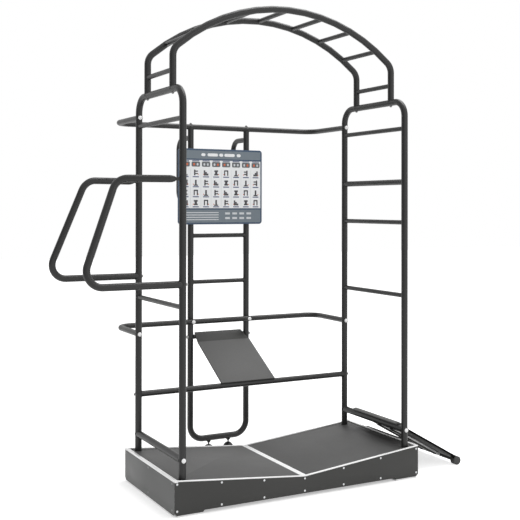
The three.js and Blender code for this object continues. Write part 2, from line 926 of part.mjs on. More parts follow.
function rampFootTube() {
  const half = (rampTo - rampFrom) / 2 + rampFootOverhang;
  const flat = rampFootRadius - rampCapRounding;
  const nearEnd = [];
  for (let k = 0; k <= loopSteps; k += 1) {
    const angle = Math.PI / 2 * k / loopSteps;
    const r = flat + rampCapRounding * Math.sin(angle);
    nearEnd.push([r, -half + rampCapRounding * (1 - Math.cos(angle))]);
  }
  const farEnd = nearEnd.map(([r, y]) => [r, -y]).reverse();
  const profile = [[0, -half], ...nearEnd, ...farEnd, [0, half]];
  const points = profile.map(([r, y]) => new THREE.Vector2(r, y));
  const bar = new THREE.LatheGeometry(points, tubeSides);
  return bar.translate(rampFootPlace, (rampFrom + rampTo) / 2, rampFootRadius);
}

function rampStrip(share) {
  const y = rampFrom + (rampTo - rampFrom) * share;
  const top = rampBottom - clearance;
  const from = rampStart + rampStripMargin;
  const to = rampFootReach - rampFootRadius - rampStripMargin;
  const half = rampStripWidth / 2;
  return onRamp(box(from, to, y - half, y + half, top - rampStripThickness, top));
}

add('ramp_board', rampBoard(), platePaint);
add('ramp_hook', rampHook(), treadRubber);
add('ramp_foot_tube', rampFootTube(), darkRubber);
add('ramp_strip_front', rampStrip(rampStripFrontShare), aluminium);
add('ramp_strip_rear', rampStrip(rampStripRearShare), aluminium);

// Bumper on the right end panel, under the sloped board
function bumper() {
  const x = halfLength + clearance;
  const half = bumperLength / 2;
  return box(
    x, x + bumperDepth, bumperCentre - half, bumperCentre + half,
    endHeight - bumperHeight, endHeight,
  );
}

add('bumper_bar', bumper(), darkRubber);

export default rack;
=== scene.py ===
import math
from contextlib import contextmanager

import bmesh
import bpy
from bpy.props import FloatProperty, FloatVectorProperty, IntProperty, PointerProperty
from mathutils import Matrix, Vector


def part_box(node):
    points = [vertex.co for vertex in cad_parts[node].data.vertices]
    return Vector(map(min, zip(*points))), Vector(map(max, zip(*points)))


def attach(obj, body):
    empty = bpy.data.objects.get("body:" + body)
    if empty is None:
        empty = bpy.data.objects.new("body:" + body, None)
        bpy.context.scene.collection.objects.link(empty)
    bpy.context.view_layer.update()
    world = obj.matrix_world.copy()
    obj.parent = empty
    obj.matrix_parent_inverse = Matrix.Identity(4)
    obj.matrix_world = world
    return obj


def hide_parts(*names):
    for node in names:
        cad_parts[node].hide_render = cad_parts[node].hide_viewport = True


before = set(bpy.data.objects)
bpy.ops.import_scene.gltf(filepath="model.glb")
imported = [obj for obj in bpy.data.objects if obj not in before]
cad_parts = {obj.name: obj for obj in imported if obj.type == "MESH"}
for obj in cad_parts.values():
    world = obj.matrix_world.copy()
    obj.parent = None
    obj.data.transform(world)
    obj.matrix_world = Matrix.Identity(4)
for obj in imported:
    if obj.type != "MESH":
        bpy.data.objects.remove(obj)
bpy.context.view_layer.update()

bl_info = {
    "name": "Stretching Rack",
    "version": (1, 0, 0),
    "blender": (4, 5, 0),
    "location": "View3D > Sidebar > Stretching Rack",
    "description": "Dresses a stretching rack of bent tube on a shallow V platform",
    "category": "Add Mesh",
}

MM = 0.001
X, Y, Z = Vector((1, 0, 0)), Vector((0, 1, 0)), Vector((0, 0, 1))
QUARTER = math.pi / 2


# Places and sizes read from the frame
def low(node):
    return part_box(node)[0]


def high(node):
    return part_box(node)[1]


def middle(node):
    return (low(node) + high(node)) / 2


def size(node):
    return high(node) - low(node)


POST = size("side_frame_left").x / 2
WRAP = size("mid_bar").z / 2
RUNG = size("left_rung_thigh").x / 2
FRAME_X = middle("side_frame_right").x
FRAME_Y = high("side_frame_right").y - POST
FRAME_TOP = high("side_frame_right").z - POST
FRAME_FOOT = low("side_frame_right").z
ARCH_Y = middle("arch_rail_rear").y
ARCH_TOP = high("arch_rail_rear").z - POST
UPPER_RAIL = middle("upper_wrap_rail").z
LOWER_RAIL = middle("lower_wrap_rail").z
LOWER_RAIL_Y = high("lower_wrap_rail").y - WRAP
MID_BAR = middle("mid_bar").z
REAR_X = high("rear_ladder_frame").x - POST
REAR_Y = middle("rear_ladder_frame").y
REAR_BOTTOM = low("rear_ladder_frame").z + POST
LOW_RUNG = middle("right_rung_low").z
SIDES = {"left": -1, "right": 1}
RUNG_PLACES = {
    "left": ("low", "thigh", "head"),
    "right": ("low", "thigh", "chest", "bar", "head"),
}
# How far from a post's axis a tube that is welded to it starts, as a share of the radius
SUNK = 0.6
# How far the front and rear skirts stand back under the heads of their screws
SKIRT_SETBACK = 1.5 * MM


# Settings
def length(name, description, default, least=0):
    """A length, given in millimetres and kept in metres"""
    return FloatProperty(
        name=name, description=description, default=default * MM, min=least * MM, unit="LENGTH")


def count(name, description, default, least, most):
    return IntProperty(name=name, description=description, default=default, min=least, max=most)


def angle(name, description, degrees):
    return FloatProperty(name=name, description=description, default=math.radians(degrees),
                         subtype="ANGLE", unit="ROTATION")


def shade(name, description, default):
    return FloatVectorProperty(
        name=name, description=description, default=default, subtype="COLOR", size=3, min=0, max=1)


class RackTubes(bpy.types.PropertyGroup):
    """Sizes of the bent tubes that the frame's boxes don't give"""

    frame_corner: length("Side frame corner", "Bend radius of a side frame's corners", 80, 40)
    arch_leg: length("Arch leg", "Height of an arch leg up to its bend", 157, 50)
    arch_bend: length("Arch bend", "Bend radius between an arch leg and the arc", 70, 40)
    wrap_corner: length("Hand rail corner", "Bend radius of the rails round the back", 80, 40)
    rear_corner: length("Rear frame corner", "Bend radius at the rear frame's foot", 77, 40)
    grip_corner: length("Rear grip corner", "Bend radius of the grips behind the posts", 65, 30)
    dip_corner: length("Dip handle corner", "Bend radius of the dip handles", 72, 40)
    dip_upper_reach: length("Dip handle top", "Reach of its upper corner from the post", 297, 100)
    dip_lower_reach: length("Dip handle bottom", "Reach of its lower corner", 482.7, 100)
    dip_toe_in: length("Dip handle toe-in", "How far its top leans inwards at the corner", 57)
    dip_rise: length("Dip handle rise", "How far its top stands over the drawn height", 3.5)
    dip_end: length("Dip handle end", "Length over which its closed end narrows", 26, 5)
    dip_neck: length("Dip handle neck", "Length of the neck between it and its post", 17, 5)
    dip_neck_diameter: length("Dip handle neck diameter", "Diameter of that neck", 16, 5)
    weld_bead: length("Weld bead", "Thickness of the weld round a tube's end", 2.4, 0.5)
    sides: count("Tube sides", "Sides of a tube's round section", 40, 12, 96)


class RackFittings(bpy.types.PropertyGroup):
    """Sizes of the fasteners, the feet and the sloped board's fittings"""

    cap_radius: length("Bolt cap radius", "Radius of the white caps over the bolts", 11, 3)
    screw_radius: length("Panel screw radius", "Radius of the screws' heads", 5, 2)
    skirt_spacing: length("Skirt screw spacing", "From screw to screw on a skirt", 222.7, 50)
    panel_spacing: length("Panel screw spacing", "From screw to screw on an end panel", 298, 50)
    screw_inset: length("Screw inset", "From the upper screws up to the sheet's edge", 8, 5)
    screw_height: length("Lower screw height", "Height of the lower screws", 27.5, 5)
    edge_rise: length("Edge rise", "Rise of the trims and skirts at the platform's ends", 5.5)
    valley_rise: length("Valley rise", "Rise of the trims and skirts at the valley", 1.5)
    lip_width: length("End lip width", "Width of the white lip along the left end", 19, 5)
    lip_height: length("End lip height", "Height of that lip", 9, 2)
    foot_rim: length("Foot rim", "Height of a levelling foot's straight rim", 5, 1)
    foot_dome: length("Foot dome", "Height of a levelling foot's bell", 40, 10)
    foot_stem: length("Foot screw radius", "Radius of a levelling foot's screw", 4, 2)
    foot_collar: length("Foot collar radius", "Radius of the collar under the tube", 12, 5)
    foot_collar_height: length("Foot collar height", "Height of that collar", 12, 3)
    board_edging: length("Board edging", "Height of the sloped board's black edging", 10, 2)
    board_end: length("Board end", "Length of the sloped board's black end caps", 24, 5)
    board_lift: length("Board lift", "How far the board's underside is drawn up", 4)
    strip_width: length("Strip width", "Width of the light strips under the board", 22, 5)
    strip_gap: length("Strip gap", "From a strip's end to the board's foot", 6)
    strip_lip: length("Strip lip", "Height of the dark lip under each strip", 8, 1)
    lip_gap: length("Strip lip gap", "From a lip's end to the board's foot", 30)
    roller_length: length("Roller", "Length of each round end of the board's foot", 32, 5)
    rib_radius: length("Rib radius", "Radius of a rib on the board's hook", 2.0, 0.5)
    hook_ribs: count("Hook ribs", "Ribs over the board's hook", 5, 1, 20)


class RackSign(bpy.types.PropertyGroup):
    """Layout of the printed board, from its top edge down"""

    rim: length("Rim", "Width of the blue rim round the print", 10, 2)
    header: length("Header", "Height of the grey band at the top", 47, 10)
    line: length("Line", "Height of the blue lines between the fields", 8, 1)
    tabs: length("Tab row", "Height of the row of tabs", 46, 10)
    footer: length("Footer", "Height of the grey band at the bottom", 74, 10)
    ink: length("Ink", "Thickness of one printed layer", 0.25, 0.05)
    columns: count("Columns", "Cells across the sheet", 8, 1, 20)
    rows: count("Rows", "Cells down the sheet", 4, 1, 12)


class RackFinishes(bpy.types.PropertyGroup):
    """Colours of the finishes"""

    tube: shade("Tube paint", "Satin paint on every tube", (0.012, 0.012, 0.0118))
    plate: shade("Plate paint", "Paint on skirts, boards and decks", (0.042, 0.042, 0.040))
    # Lighter than the plate paint of the skirts and the right end panel: painted light on the left
    # end
    end_panel: shade("End panel paint", "Paint on the left end panel", (0.124, 0.126, 0.124))
    mat: shade("Mat", "Grained rubber of the deck mats", (0.060, 0.060, 0.059))
    white: shade("White plastic", "Trims, strip, floor pads and bolt caps", (0.85, 0.85, 0.85))


class RackStage(bpy.types.PropertyGroup):
    """Where the camera stands and how it looks at the rack"""

    place: FloatVectorProperty(
        name="Camera place", description="Where the camera stands",
        default=(-2.30497, -4.20920, 1.4045), subtype="TRANSLATION", unit="LENGTH", size=3)
    heading: angle("Heading", "Turn of the view from +Y towards +X", 27.96)
    pitch: angle("Pitch", "Tilt of the view above the horizon", 0.30)
    roll: angle("Roll", "Turn of the picture about the view", 0.08)
    lens: FloatProperty(
        name="Lens", description="Focal length in millimetres on a 36 mm sensor",
        default=64.44, min=20, max=200)


# Work in Blender's own modes
def deselect():
    bpy.ops.object.select_all(action="DESELECT")


def pick(*pieces):
    deselect()
    for piece in pieces:
        piece.select_set(True)
    bpy.context.view_layer.objects.active = pieces[0]


@contextmanager
def editing(piece, mode="VERT"):
    """Edit mode on one piece, with everything in it selected"""
    pick(piece)
    bpy.ops.object.mode_set(mode="EDIT")
    bpy.ops.mesh.select_mode(type=mode)
    bpy.ops.mesh.select_all(action="SELECT")
    yield bmesh.from_edit_mesh(piece.data)
    bpy.ops.object.mode_set(mode="OBJECT")


def choose_faces(mesh, test):
    """Selects the faces that pass a test, and no others"""
    bpy.ops.mesh.select_all(action="DESELECT")
    for face in mesh.faces:
        if test(face):
            face.select_set(True)
    bmesh.update_edit_mesh(bpy.context.object.data)


def face_out():
    bpy.ops.mesh.select_all(action="SELECT")
    bpy.ops.mesh.normals_make_consistent(inside=False)


def close_ends():
    bpy.ops.mesh.select_all(action="SELECT")
    bpy.ops.mesh.fill_holes(sides=0)
    face_out()


def bevel(piece, width, sharp=40):
    """Rounds the edges sharper than an angle, and marks the narrow faces there for the wear"""
    pick(piece)
    modifier = piece.modifiers.new("Bevel", "BEVEL")
    modifier.width = width
    modifier.segments = 2
    modifier.limit_method = "ANGLE"
    modifier.angle_limit = math.radians(sharp)
    modifier.miter_outer = "MITER_ARC"
    modifier.harden_normals = False
    bpy.ops.object.modifier_apply(modifier=modifier.name)
    attributes = piece.data.attributes
    marks = attributes.get("rounded") or attributes.new("rounded", "FLOAT", "FACE")
    for face in piece.data.polygons:
        points = [piece.data.vertices[i].co for i in face.vertices]
        around = sum((points[k] - points[k - 1]).length for k in range(len(points)))
        marks.data[face.index].value = 1.0 if 2 * face.area / around < width else 0.0


def facing(direction):
    return direction.to_track_quat("Z", "Y")


def standing(place, direction):
    """The matrix that puts a piece drawn along +Z at a place, pointing in a direction"""
    return Matrix.Translation(place) @ facing(direction).to_matrix().to_4x4()


def copies(source, matrices):
    """One copy of a modelled piece for each matrix, each with its own mesh"""
    made = []
    for matrix in matrices:
        piece = source.copy()
        piece.data = source.data.copy()
        piece.data.transform(matrix)
        bpy.context.scene.collection.objects.link(piece)
        made.append(piece)
    bpy.data.objects.remove(source)
    return made


def join(pieces):
    pick(*pieces)
    if len(pieces) > 1:
        bpy.ops.object.join()
    return bpy.context.object


SMOOTH_ANGLE = math.radians(35)


def settle(piece, name, finish, body="rack", replaces=()):
    """Names a finished piece, gives it its finish and hangs it on its body"""
    pick(piece)
    bpy.ops.object.transform_apply(location=True, rotation=True, scale=True)
    bpy.ops.object.shade_smooth_by_angle(angle=SMOOTH_ANGLE)
    piece.name = name
    piece.data.name = name
    piece.data.materials.clear()
    piece.data.materials.append(finishes[finish])
    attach(piece, body)
    if replaces:
        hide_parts(*replaces)


def place_all(model, places, name, finish):
    """Stands a copy of a model at each (place, direction) and joins them as one piece"""
    matrices = [standing(Vector(place), direction) for place, direction in places]
    settle(join(copies(model, matrices)), name, finish)


# Tubes
BEND_STEP = math.radians(6)


def bend_steps(corners, radius):
    """The straight runs and bends that follow a line of corners"""
    steps = []
    here = corners[0]
    for before, corner, after in zip(corners, corners[1:], corners[2:]):
        ahead = (corner - before).normalized()
        leaving = (after - corner).normalized()
        turn = ahead.angle(leaving)
        reach = radius * math.tan(turn / 2)
        start = corner - ahead * reach
        axis = ahead.cross(leaving).normalized()
        steps.append(("run", start - here))
        steps.append(("bend", start + axis.cross(ahead) * radius, axis, turn))
        here = corner + leaving * reach
    steps.append(("run", corners[-1] - here))
    return steps


def open_ring(radius, sides, place, rotation=(0, 0, 0)):
    """The ring of edges that a tube or a turned piece starts from"""
    deselect()
    bpy.ops.mesh.primitive_circle_add(
        vertices=sides, radius=radius, fill_type="NOTHING", location=place, rotation=rotation)
    bpy.ops.object.transform_apply()
    return bpy.context.object


def driven_tube(start, ahead, steps, radius, sides=None):
    """A ring driven along straight runs and round bends, and closed at both ends"""
    sides = sides or bpy.context.scene.rack_tubes.sides
    tube = open_ring(radius, sides, start, facing(ahead).to_euler())
    with editing(tube):
        for kind, *values in steps:
            if kind == "run":
                bpy.ops.mesh.extrude_edges_move(TRANSFORM_OT_translate={"value": values[0]})
            else:
                centre, axis, turn = values
                bpy.ops.mesh.spin(
                    steps=max(4, math.ceil(turn / BEND_STEP)), angle=-turn, center=centre, axis=axis)
        close_ends()
    return tube


def bent_tube(corners, bend, radius):
    corners = [Vector(corner) for corner in corners]
    return driven_tube(corners[0], corners[1] - corners[0], bend_steps(corners, bend), radius)


def straight_tube(start, end, radius):
    return driven_tube(start, end - start, [("run", end - start)], radius)


def weld(place, direction, radius, post_axis=Z, post=POST):
    """A bead round a tube's end, drawn back to lie on the round post it meets"""
    thickness = bpy.context.scene.rack_tubes.weld_bead
    place, overlap, widest = Vector(place), thickness / 5, post * 0.995
    deselect()
    bpy.ops.mesh.primitive_torus_add(
        major_radius=radius + overlap, minor_radius=thickness, major_segments=40,
        minor_segments=8, location=place, rotation=facing(direction).to_euler())
    bead = bpy.context.object
    bpy.ops.object.transform_apply()
    across = direction.cross(post_axis).normalized()
    for vertex in bead.data.vertices:
        aside = min(abs((vertex.co - place).dot(across)), widest)
        vertex.co += direction * (math.sqrt(post ** 2 - aside ** 2) - post)
    return bead


def settle_tube(parts, node):
    settle(join(parts), f"{node}_tube", "tube", replaces=[node])


def welded_rung(node, start, end, radius, post_axis=Z):
    """A straight tube between two posts' axes, with a bead at each end"""
    start, end = Vector(start), Vector(end)
    ahead = (end - start).normalized()
    inset = math.sqrt(max(POST ** 2 - (radius * 0.98) ** 2, 0)) * 0.9
    parts = [straight_tube(start + ahead * inset, end - ahead * inset, radius)]
    for place, direction in ((start, ahead), (end, -ahead)):
        parts.append(weld(place + direction * POST, direction, radius, post_axis))
    settle_tube(parts, node)


# Turned and hexagonal pieces
def turned(profile, sides=24):
    """A round piece along +Z, from (radius, height) pairs, closed at both ends"""
    (radius, height), *rest = profile
    piece = open_ring(radius, sides, (0, 0, height))
    with editing(piece):
        for next_radius, next_height in rest:
            rise = (0, 0, next_height - height)
            bpy.ops.mesh.extrude_edges_move(TRANSFORM_OT_translate={"value": rise})
            scale = next_radius / radius
            bpy.ops.transform.resize(value=(scale, scale, 1))
            radius, height = next_radius, next_height
        close_ends()
    return piece


def dome_profile(radius, height, base):
    """A straight base and nearly a quarter round over it"""
    steps, share = 6, 0.96
    points = [(radius, 0), (radius, base)]
    for k in range(1, steps + 1):
        angle = QUARTER * k / steps * share
        points.append((radius * math.cos(angle), base + (height - base) * math.sin(angle)))
    return points


def bolt_cap():
    """A white cap pushed over a bolt's head"""
    radius = bpy.context.scene.rack_fittings.cap_radius
    return turned(dome_profile(radius, radius * 0.6, radius * 0.2), 28)


def cap_shade_ring():
    """A dark rubber washer, a ring of painted shade round a cap"""
    radius = bpy.context.scene.rack_fittings.cap_radius * 1.28
    return turned([(radius, -0.1 * radius), (radius, 0), (radius * 0.9, 0.07 * radius)], 28)


def dome_nut():
    """A washer, a hexagon and a domed end"""
    washer = turned([(9 * MM, 0), (9 * MM, 1.4 * MM), (8.4 * MM, 1.8 * MM)])
    hexagon = turned([(7.4 * MM, 1.2 * MM), (7.4 * MM, 4.6 * MM), (6.6 * MM, 5.2 * MM)], 6)
    dome = [(r, z + 4.4 * MM) for r, z in dome_profile(6 * MM, 5.6 * MM, 1 * MM)]
    return join([washer, hexagon, turned(dome, 20)])


def panel_screw():
    """A flat round head with a sunk socket"""
    radius = bpy.context.scene.rack_fittings.screw_radius
    profile = [(1, -0.2), (1, 0.18), (0.84, 0.28)]
    screw = turned([(r * radius, height * radius) for r, height in profile], 18)
    with editing(screw, "FACE") as mesh:
        choose_faces(mesh, lambda face: face.calc_center_median().z > radius * 0.27)
        bpy.ops.mesh.inset(thickness=radius * 0.4)
        bpy.ops.mesh.extrude_region_move(TRANSFORM_OT_translate={"value": (0, 0, -radius * 0.24)})
    return screw


# Plates
def dress_plate(node, ending, edge, finish, slot, body="rack", before=None):
    """A merged copy of a node with its edges rounded, and changed before that if asked"""
    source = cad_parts[node]
    piece = source.copy()
    piece.data = source.data.copy()
    piece.parent = None
    for key in list(piece.keys()):
        del piece[key]
    bpy.context.scene.collection.objects.link(piece)
    with editing(piece):
        bpy.ops.mesh.remove_doubles(threshold=0.02 * MM)
        bpy.ops.mesh.dissolve_limited(angle_limit=math.radians(0.5))
        if before:
            before(bmesh.from_edit_mesh(piece.data))
    bevel(piece, edge * MM)
    settle(piece, f"{node}_{ending}", finish, body, [node])


def thick_patch(width, depth, height, place=(0, 0, 0), corner=0.0):
    """A plane made a block, with its corners rounded first if asked"""
    deselect()
    bpy.ops.mesh.primitive_plane_add(size=1, location=place)
    piece = bpy.context.object
    piece.scale = (width, depth, 1)
    bpy.ops.object.transform_apply()
    with editing(piece):
        if corner:
            bpy.ops.mesh.bevel(offset=corner, segments=3, affect="VERTICES")
            bpy.ops.mesh.select_all(action="SELECT")
        bpy.ops.mesh.extrude_region_move(TRANSFORM_OT_translate={"value": (0, 0, height)})
        face_out()
    return piece


def block(centre, extent, edge):
    """A block with rounded edges"""
    piece = thick_patch(*extent, centre - Z * extent[2] / 2)
    bevel(piece, edge)
    return piece


def edge_rise(x):
    """How far the trims and skirts are drawn up at a place along the rack"""
    fittings = bpy.context.scene.rack_fittings
    share = abs(x) / high("front_skirt").x
    return fittings.valley_rise + (fittings.edge_rise - fittings.valley_rise) * share


# Nodes for the materials
def feed(tree, socket, value):
    """Links a socket to another one, or sets its plain value"""
    if isinstance(value, bpy.types.NodeSocket):
        tree.links.new(value, socket)
    else:
        socket.default_value = value


def feed_node(tree, node, feeds):
    """Feeds a node's inputs, by their names or numbers"""
    for key, value in feeds.items():
        feed(tree, node.inputs[key], value)
    return node


def add_node(tree, kind, feeds=None, **settings):
    """A node with its settings made and its inputs fed"""
    node = tree.nodes.new(kind)
    for key, value in settings.items():
        setattr(node, key, value)
    return feed_node(tree, node, feeds or {})


def add_group(tree, name, feeds):
    return add_node(tree, "ShaderNodeGroup", feeds, node_tree=bpy.data.node_groups[name]).outputs


def calculate(tree, operation, first, second, clamp=False):
    return add_node(tree, "ShaderNodeMath", {0: first, 1: second},
                    operation=operation, use_clamp=clamp).outputs[0]


def noise(tree, scale, detail, roughness):
    place = add_node(tree, "ShaderNodeTexCoord").outputs["Object"]
    return add_node(tree, "ShaderNodeTexNoise", {
        "Vector": place, "Scale": scale, "Detail": detail, "Roughness": roughness}).outputs["Fac"]


def stretch(tree, value, old_low, old_high, new_low=0.0, new_high=1.0):
    return add_node(tree, "ShaderNodeMapRange", {
        "Value": value, "From Min": old_low, "From Max": old_high,
        "To Min": new_low, "To Max": new_high}).outputs["Result"]


def mix_colour(tree, amount, first, second):
    return add_node(
        tree, "ShaderNodeMix", {0: amount, 6: first, 7: second}, data_type="RGBA").outputs[2]


def mix_number(tree, amount, first, second):
    return add_node(tree, "ShaderNodeMix", {0: amount, 2: first, 3: second}).outputs[0]


def new_group(name, inputs, outputs):
    group = bpy.data.node_groups.new(name, "ShaderNodeTree")
    for label, default in inputs.items():
        socket = group.interface.new_socket(label, in_out="INPUT", socket_type="NodeSocketFloat")
        socket.default_value = default
    for label in outputs:
        group.interface.new_socket(label, in_out="OUTPUT", socket_type="NodeSocketFloat")
    start = group.nodes.new("NodeGroupInput")
    end = group.nodes.new("NodeGroupOutput")
    return group, start.outputs, end.inputs


def grain_group():
    """Fine grain and soft clouds, on Object coordinates"""
    group, given, out = new_group(
        "Surface grain", {"Grains per metre": 400, "Clouds per metre": 6}, ["Grain", "Clouds"])
    fine = noise(group, given["Grains per metre"], 3, 0.6)
    broad = noise(group, given["Clouds per metre"], 4, 0.55)
    feed(group, out["Grain"], stretch(group, fine, 0.25, 0.75))
    feed(group, out["Clouds"], stretch(group, broad, 0.3, 0.7))


def wear_group():
    """Where edges are rubbed: the rounded faces, broken up by noise"""
    group, given, out = new_group("Worn edges", {"Amount": 0.5, "Breaks per metre": 60}, ["Wear"])
    rounded = add_node(group, "ShaderNodeAttribute", attribute_name="rounded").outputs["Fac"]
    broken = stretch(group, noise(group, given["Breaks per metre"], 5, 0.6), 0.42, 0.64)
    edge = calculate(group, "MULTIPLY", rounded, given["Amount"])
    feed(group, out["Wear"], calculate(group, "MULTIPLY", edge, broken, clamp=True))


def tinted(colour, share):
    """A colour made lighter or darker, and opaque"""
    return tuple(min(part * share, 1) for part in colour[:3]) + (1,)


def new_tree(owner):
    owner.use_nodes = True
    return owner.node_tree


# How much lighter the light grains of a speckled rubber are than its ground
SPECKLE_LIGHT = 1.9


def make_finish(name, colour, roughness, metallic, specular, grains, clouds, spread, relief,
                rough_spread=0.08, speckle=0, worn=None):
    """A material: the clouds vary its colour and roughness, the grain makes its relief"""
    material = bpy.data.materials.new(name)
    tree = new_tree(material)
    grain = add_group(
        tree, "Surface grain", {"Grains per metre": grains, "Clouds per metre": clouds})
    tone = mix_colour(
        tree, grain["Clouds"], tinted(colour, 1 - spread), tinted(colour, 1 + spread))
    if speckle:
        light_grains = stretch(tree, grain["Grain"], 0.2, 0.8, 0, speckle)
        tone = mix_colour(tree, light_grains, tone, tinted(colour, SPECKLE_LIGHT))
    if worn:
        wear = add_group(tree, "Worn edges", {"Amount": 0.5, "Breaks per metre": 60})
        tone = mix_colour(tree, wear["Wear"], tone, tinted(worn, 1))
    bump = add_node(tree, "ShaderNodeBump", {
        "Strength": 1.0, "Distance": relief * MM, "Height": grain["Grain"]})
    feed_node(tree, tree.nodes["Principled BSDF"], {
        "Base Color": tone, "Metallic": metallic, "Specular IOR Level": specular,
        "Normal": bump.outputs["Normal"],
        "Roughness": stretch(tree, grain["Clouds"], 0, 1,
                             roughness - rough_spread, roughness + rough_spread)})
    return material


def grey(value):
    return (value, value, value)


finishes = {}


def make_finishes():
    paint = bpy.context.scene.rack_finishes
    bare, rubbed = grey(0.30), grey(0.4)
    # Material, colour, roughness, metallic, specular level, grains and clouds per metre, spread
    # of the colour, relief in millimetres, spread of the roughness, speckle, metal at worn edges
    rows = {
        "tube": ("tube_paint", paint.tube, 0.38, 0, 0.45, 420, 9, 0.10, 0.015, 0.05),
        "plate": ("plate_paint", paint.plate, 0.55, 0, 0.35, 1100, 4, 0.06, 0.05, 0.08, 0, bare),
        "board": ("board_paint", tinted(paint.plate, 0.72), 0.55, 0, 0.3, 1100, 4, 0.06, 0.05,
                  0.08, 0, bare),
        # The left end panel's lighter paint is painted light
        "end": ("end_paint", paint.end_panel, 0.58, 0, 0.5, 1100, 4, 0.04, 0.05, 0.08, 0, bare),
        "frame": ("frame_steel", (0.03, 0.03, 0.032), 0.65, 0.2, 0.5, 500, 7, 0.2, 0.05,
                  0.08, 0, bare),
        "steel": ("blackened_steel", (0.035, 0.035, 0.037), 0.38, 0.7, 0.5, 700, 20, 0.2, 0.02,
                  0.08, 0, rubbed),
        "bright": ("bright_zinc", (0.62, 0.63, 0.64), 0.30, 0.9, 0.5, 800, 25, 0.1, 0.02),
        "dull": ("dull_zinc", grey(0.30), 0.5, 0.3, 0.5, 800, 25, 0.1, 0.02),
        # Near-white and barely metallic so that the strips under the sloped board stay bright in its
        # shade: painted light
        "light": ("plain_aluminium", grey(0.84), 0.36, 0.15, 0.5, 900, 12, 0.03, 0.01),
        "mat": ("mat_rubber", paint.mat, 0.60, 0, 0.5, 330, 5, 0.04, 0.14, 0.04, 0.14),
        "tread": ("tread_rubber", tinted(paint.mat, 1.32), 0.62, 0, 0.5, 300, 6, 0.06, 0.16,
                  0.04, 0.20),
        "rib": ("rib_rubber", (0.19, 0.19, 0.185), 0.6, 0, 0.5, 400, 9, 0.08, 0.03),
        "rubber": ("foot_rubber", grey(0.010), 0.7, 0, 0.2, 500, 12, 0.2, 0.05),
        # Near-black and nearly without gloss: rubber edging that also paints the shade of the gap
        # under the board's top edge
        "edging": ("black_edging", grey(0.003), 0.8, 0, 0.05, 500, 12, 0.2, 0.03),
        "cap": ("cap_rubber", (0.060, 0.060, 0.058), 0.65, 0, 0.3, 500, 12, 0.1, 0.04),
        "nut": ("plain_nut", grey(0.22), 0.42, 0.4, 0.5, 800, 25, 0.1, 0.02),
        "pale": ("pale_plastic", grey(0.50), 0.35, 0, 0.5, 600, 8, 0.02, 0.005, 0.04),
        "white": ("white_plastic", paint.white, 0.42, 0, 0.5, 700, 8, 0.015, 0.015, 0.05),
        "gloss": ("white_gloss", tinted(paint.white, 1.08), 0.16, 0, 0.5, 500, 8, 0.012, 0.002,
                  0.04),
    }
    prints = {
        "sign_rim": (0.030, 0.062, 0.115), "sign_band": (0.155, 0.19, 0.22),
        "sign_paper": (0.84, 0.85, 0.86), "sign_ink": (0.045, 0.042, 0.05),
        "sign_navy": (0.035, 0.060, 0.16), "sign_orange": (0.62, 0.13, 0.045),
        "sign_tab": (0.10, 0.11, 0.12), "sign_line": (0.60, 0.62, 0.64),
    }
    for name, colour in prints.items():
        rows[name] = (name, colour, 0.40, 0, 0.5, 600, 9, 0.02, 0.01)
    for name, row in rows.items():
        finishes[name] = make_finish(*row)


def dress_node(node, finish):
    """Gives a CAD node that stays its finish"""
    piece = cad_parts[node]
    if not piece.material_slots:
        piece.data.materials.append(finishes[finish])
    for slot in piece.material_slots:
        slot.material = finishes[finish]


class RackOperator:
    bl_options = {"REGISTER", "UNDO"}


class RACK_OT_finishes(RackOperator, bpy.types.Operator):
    """Make the paints, rubbers, plastics and metals"""

    bl_idname = "rack.finishes"
    bl_label = "Finishes"

    def execute(self, context):
        grain_group()
        wear_group()
        make_finishes()
        return {"FINISHED"}


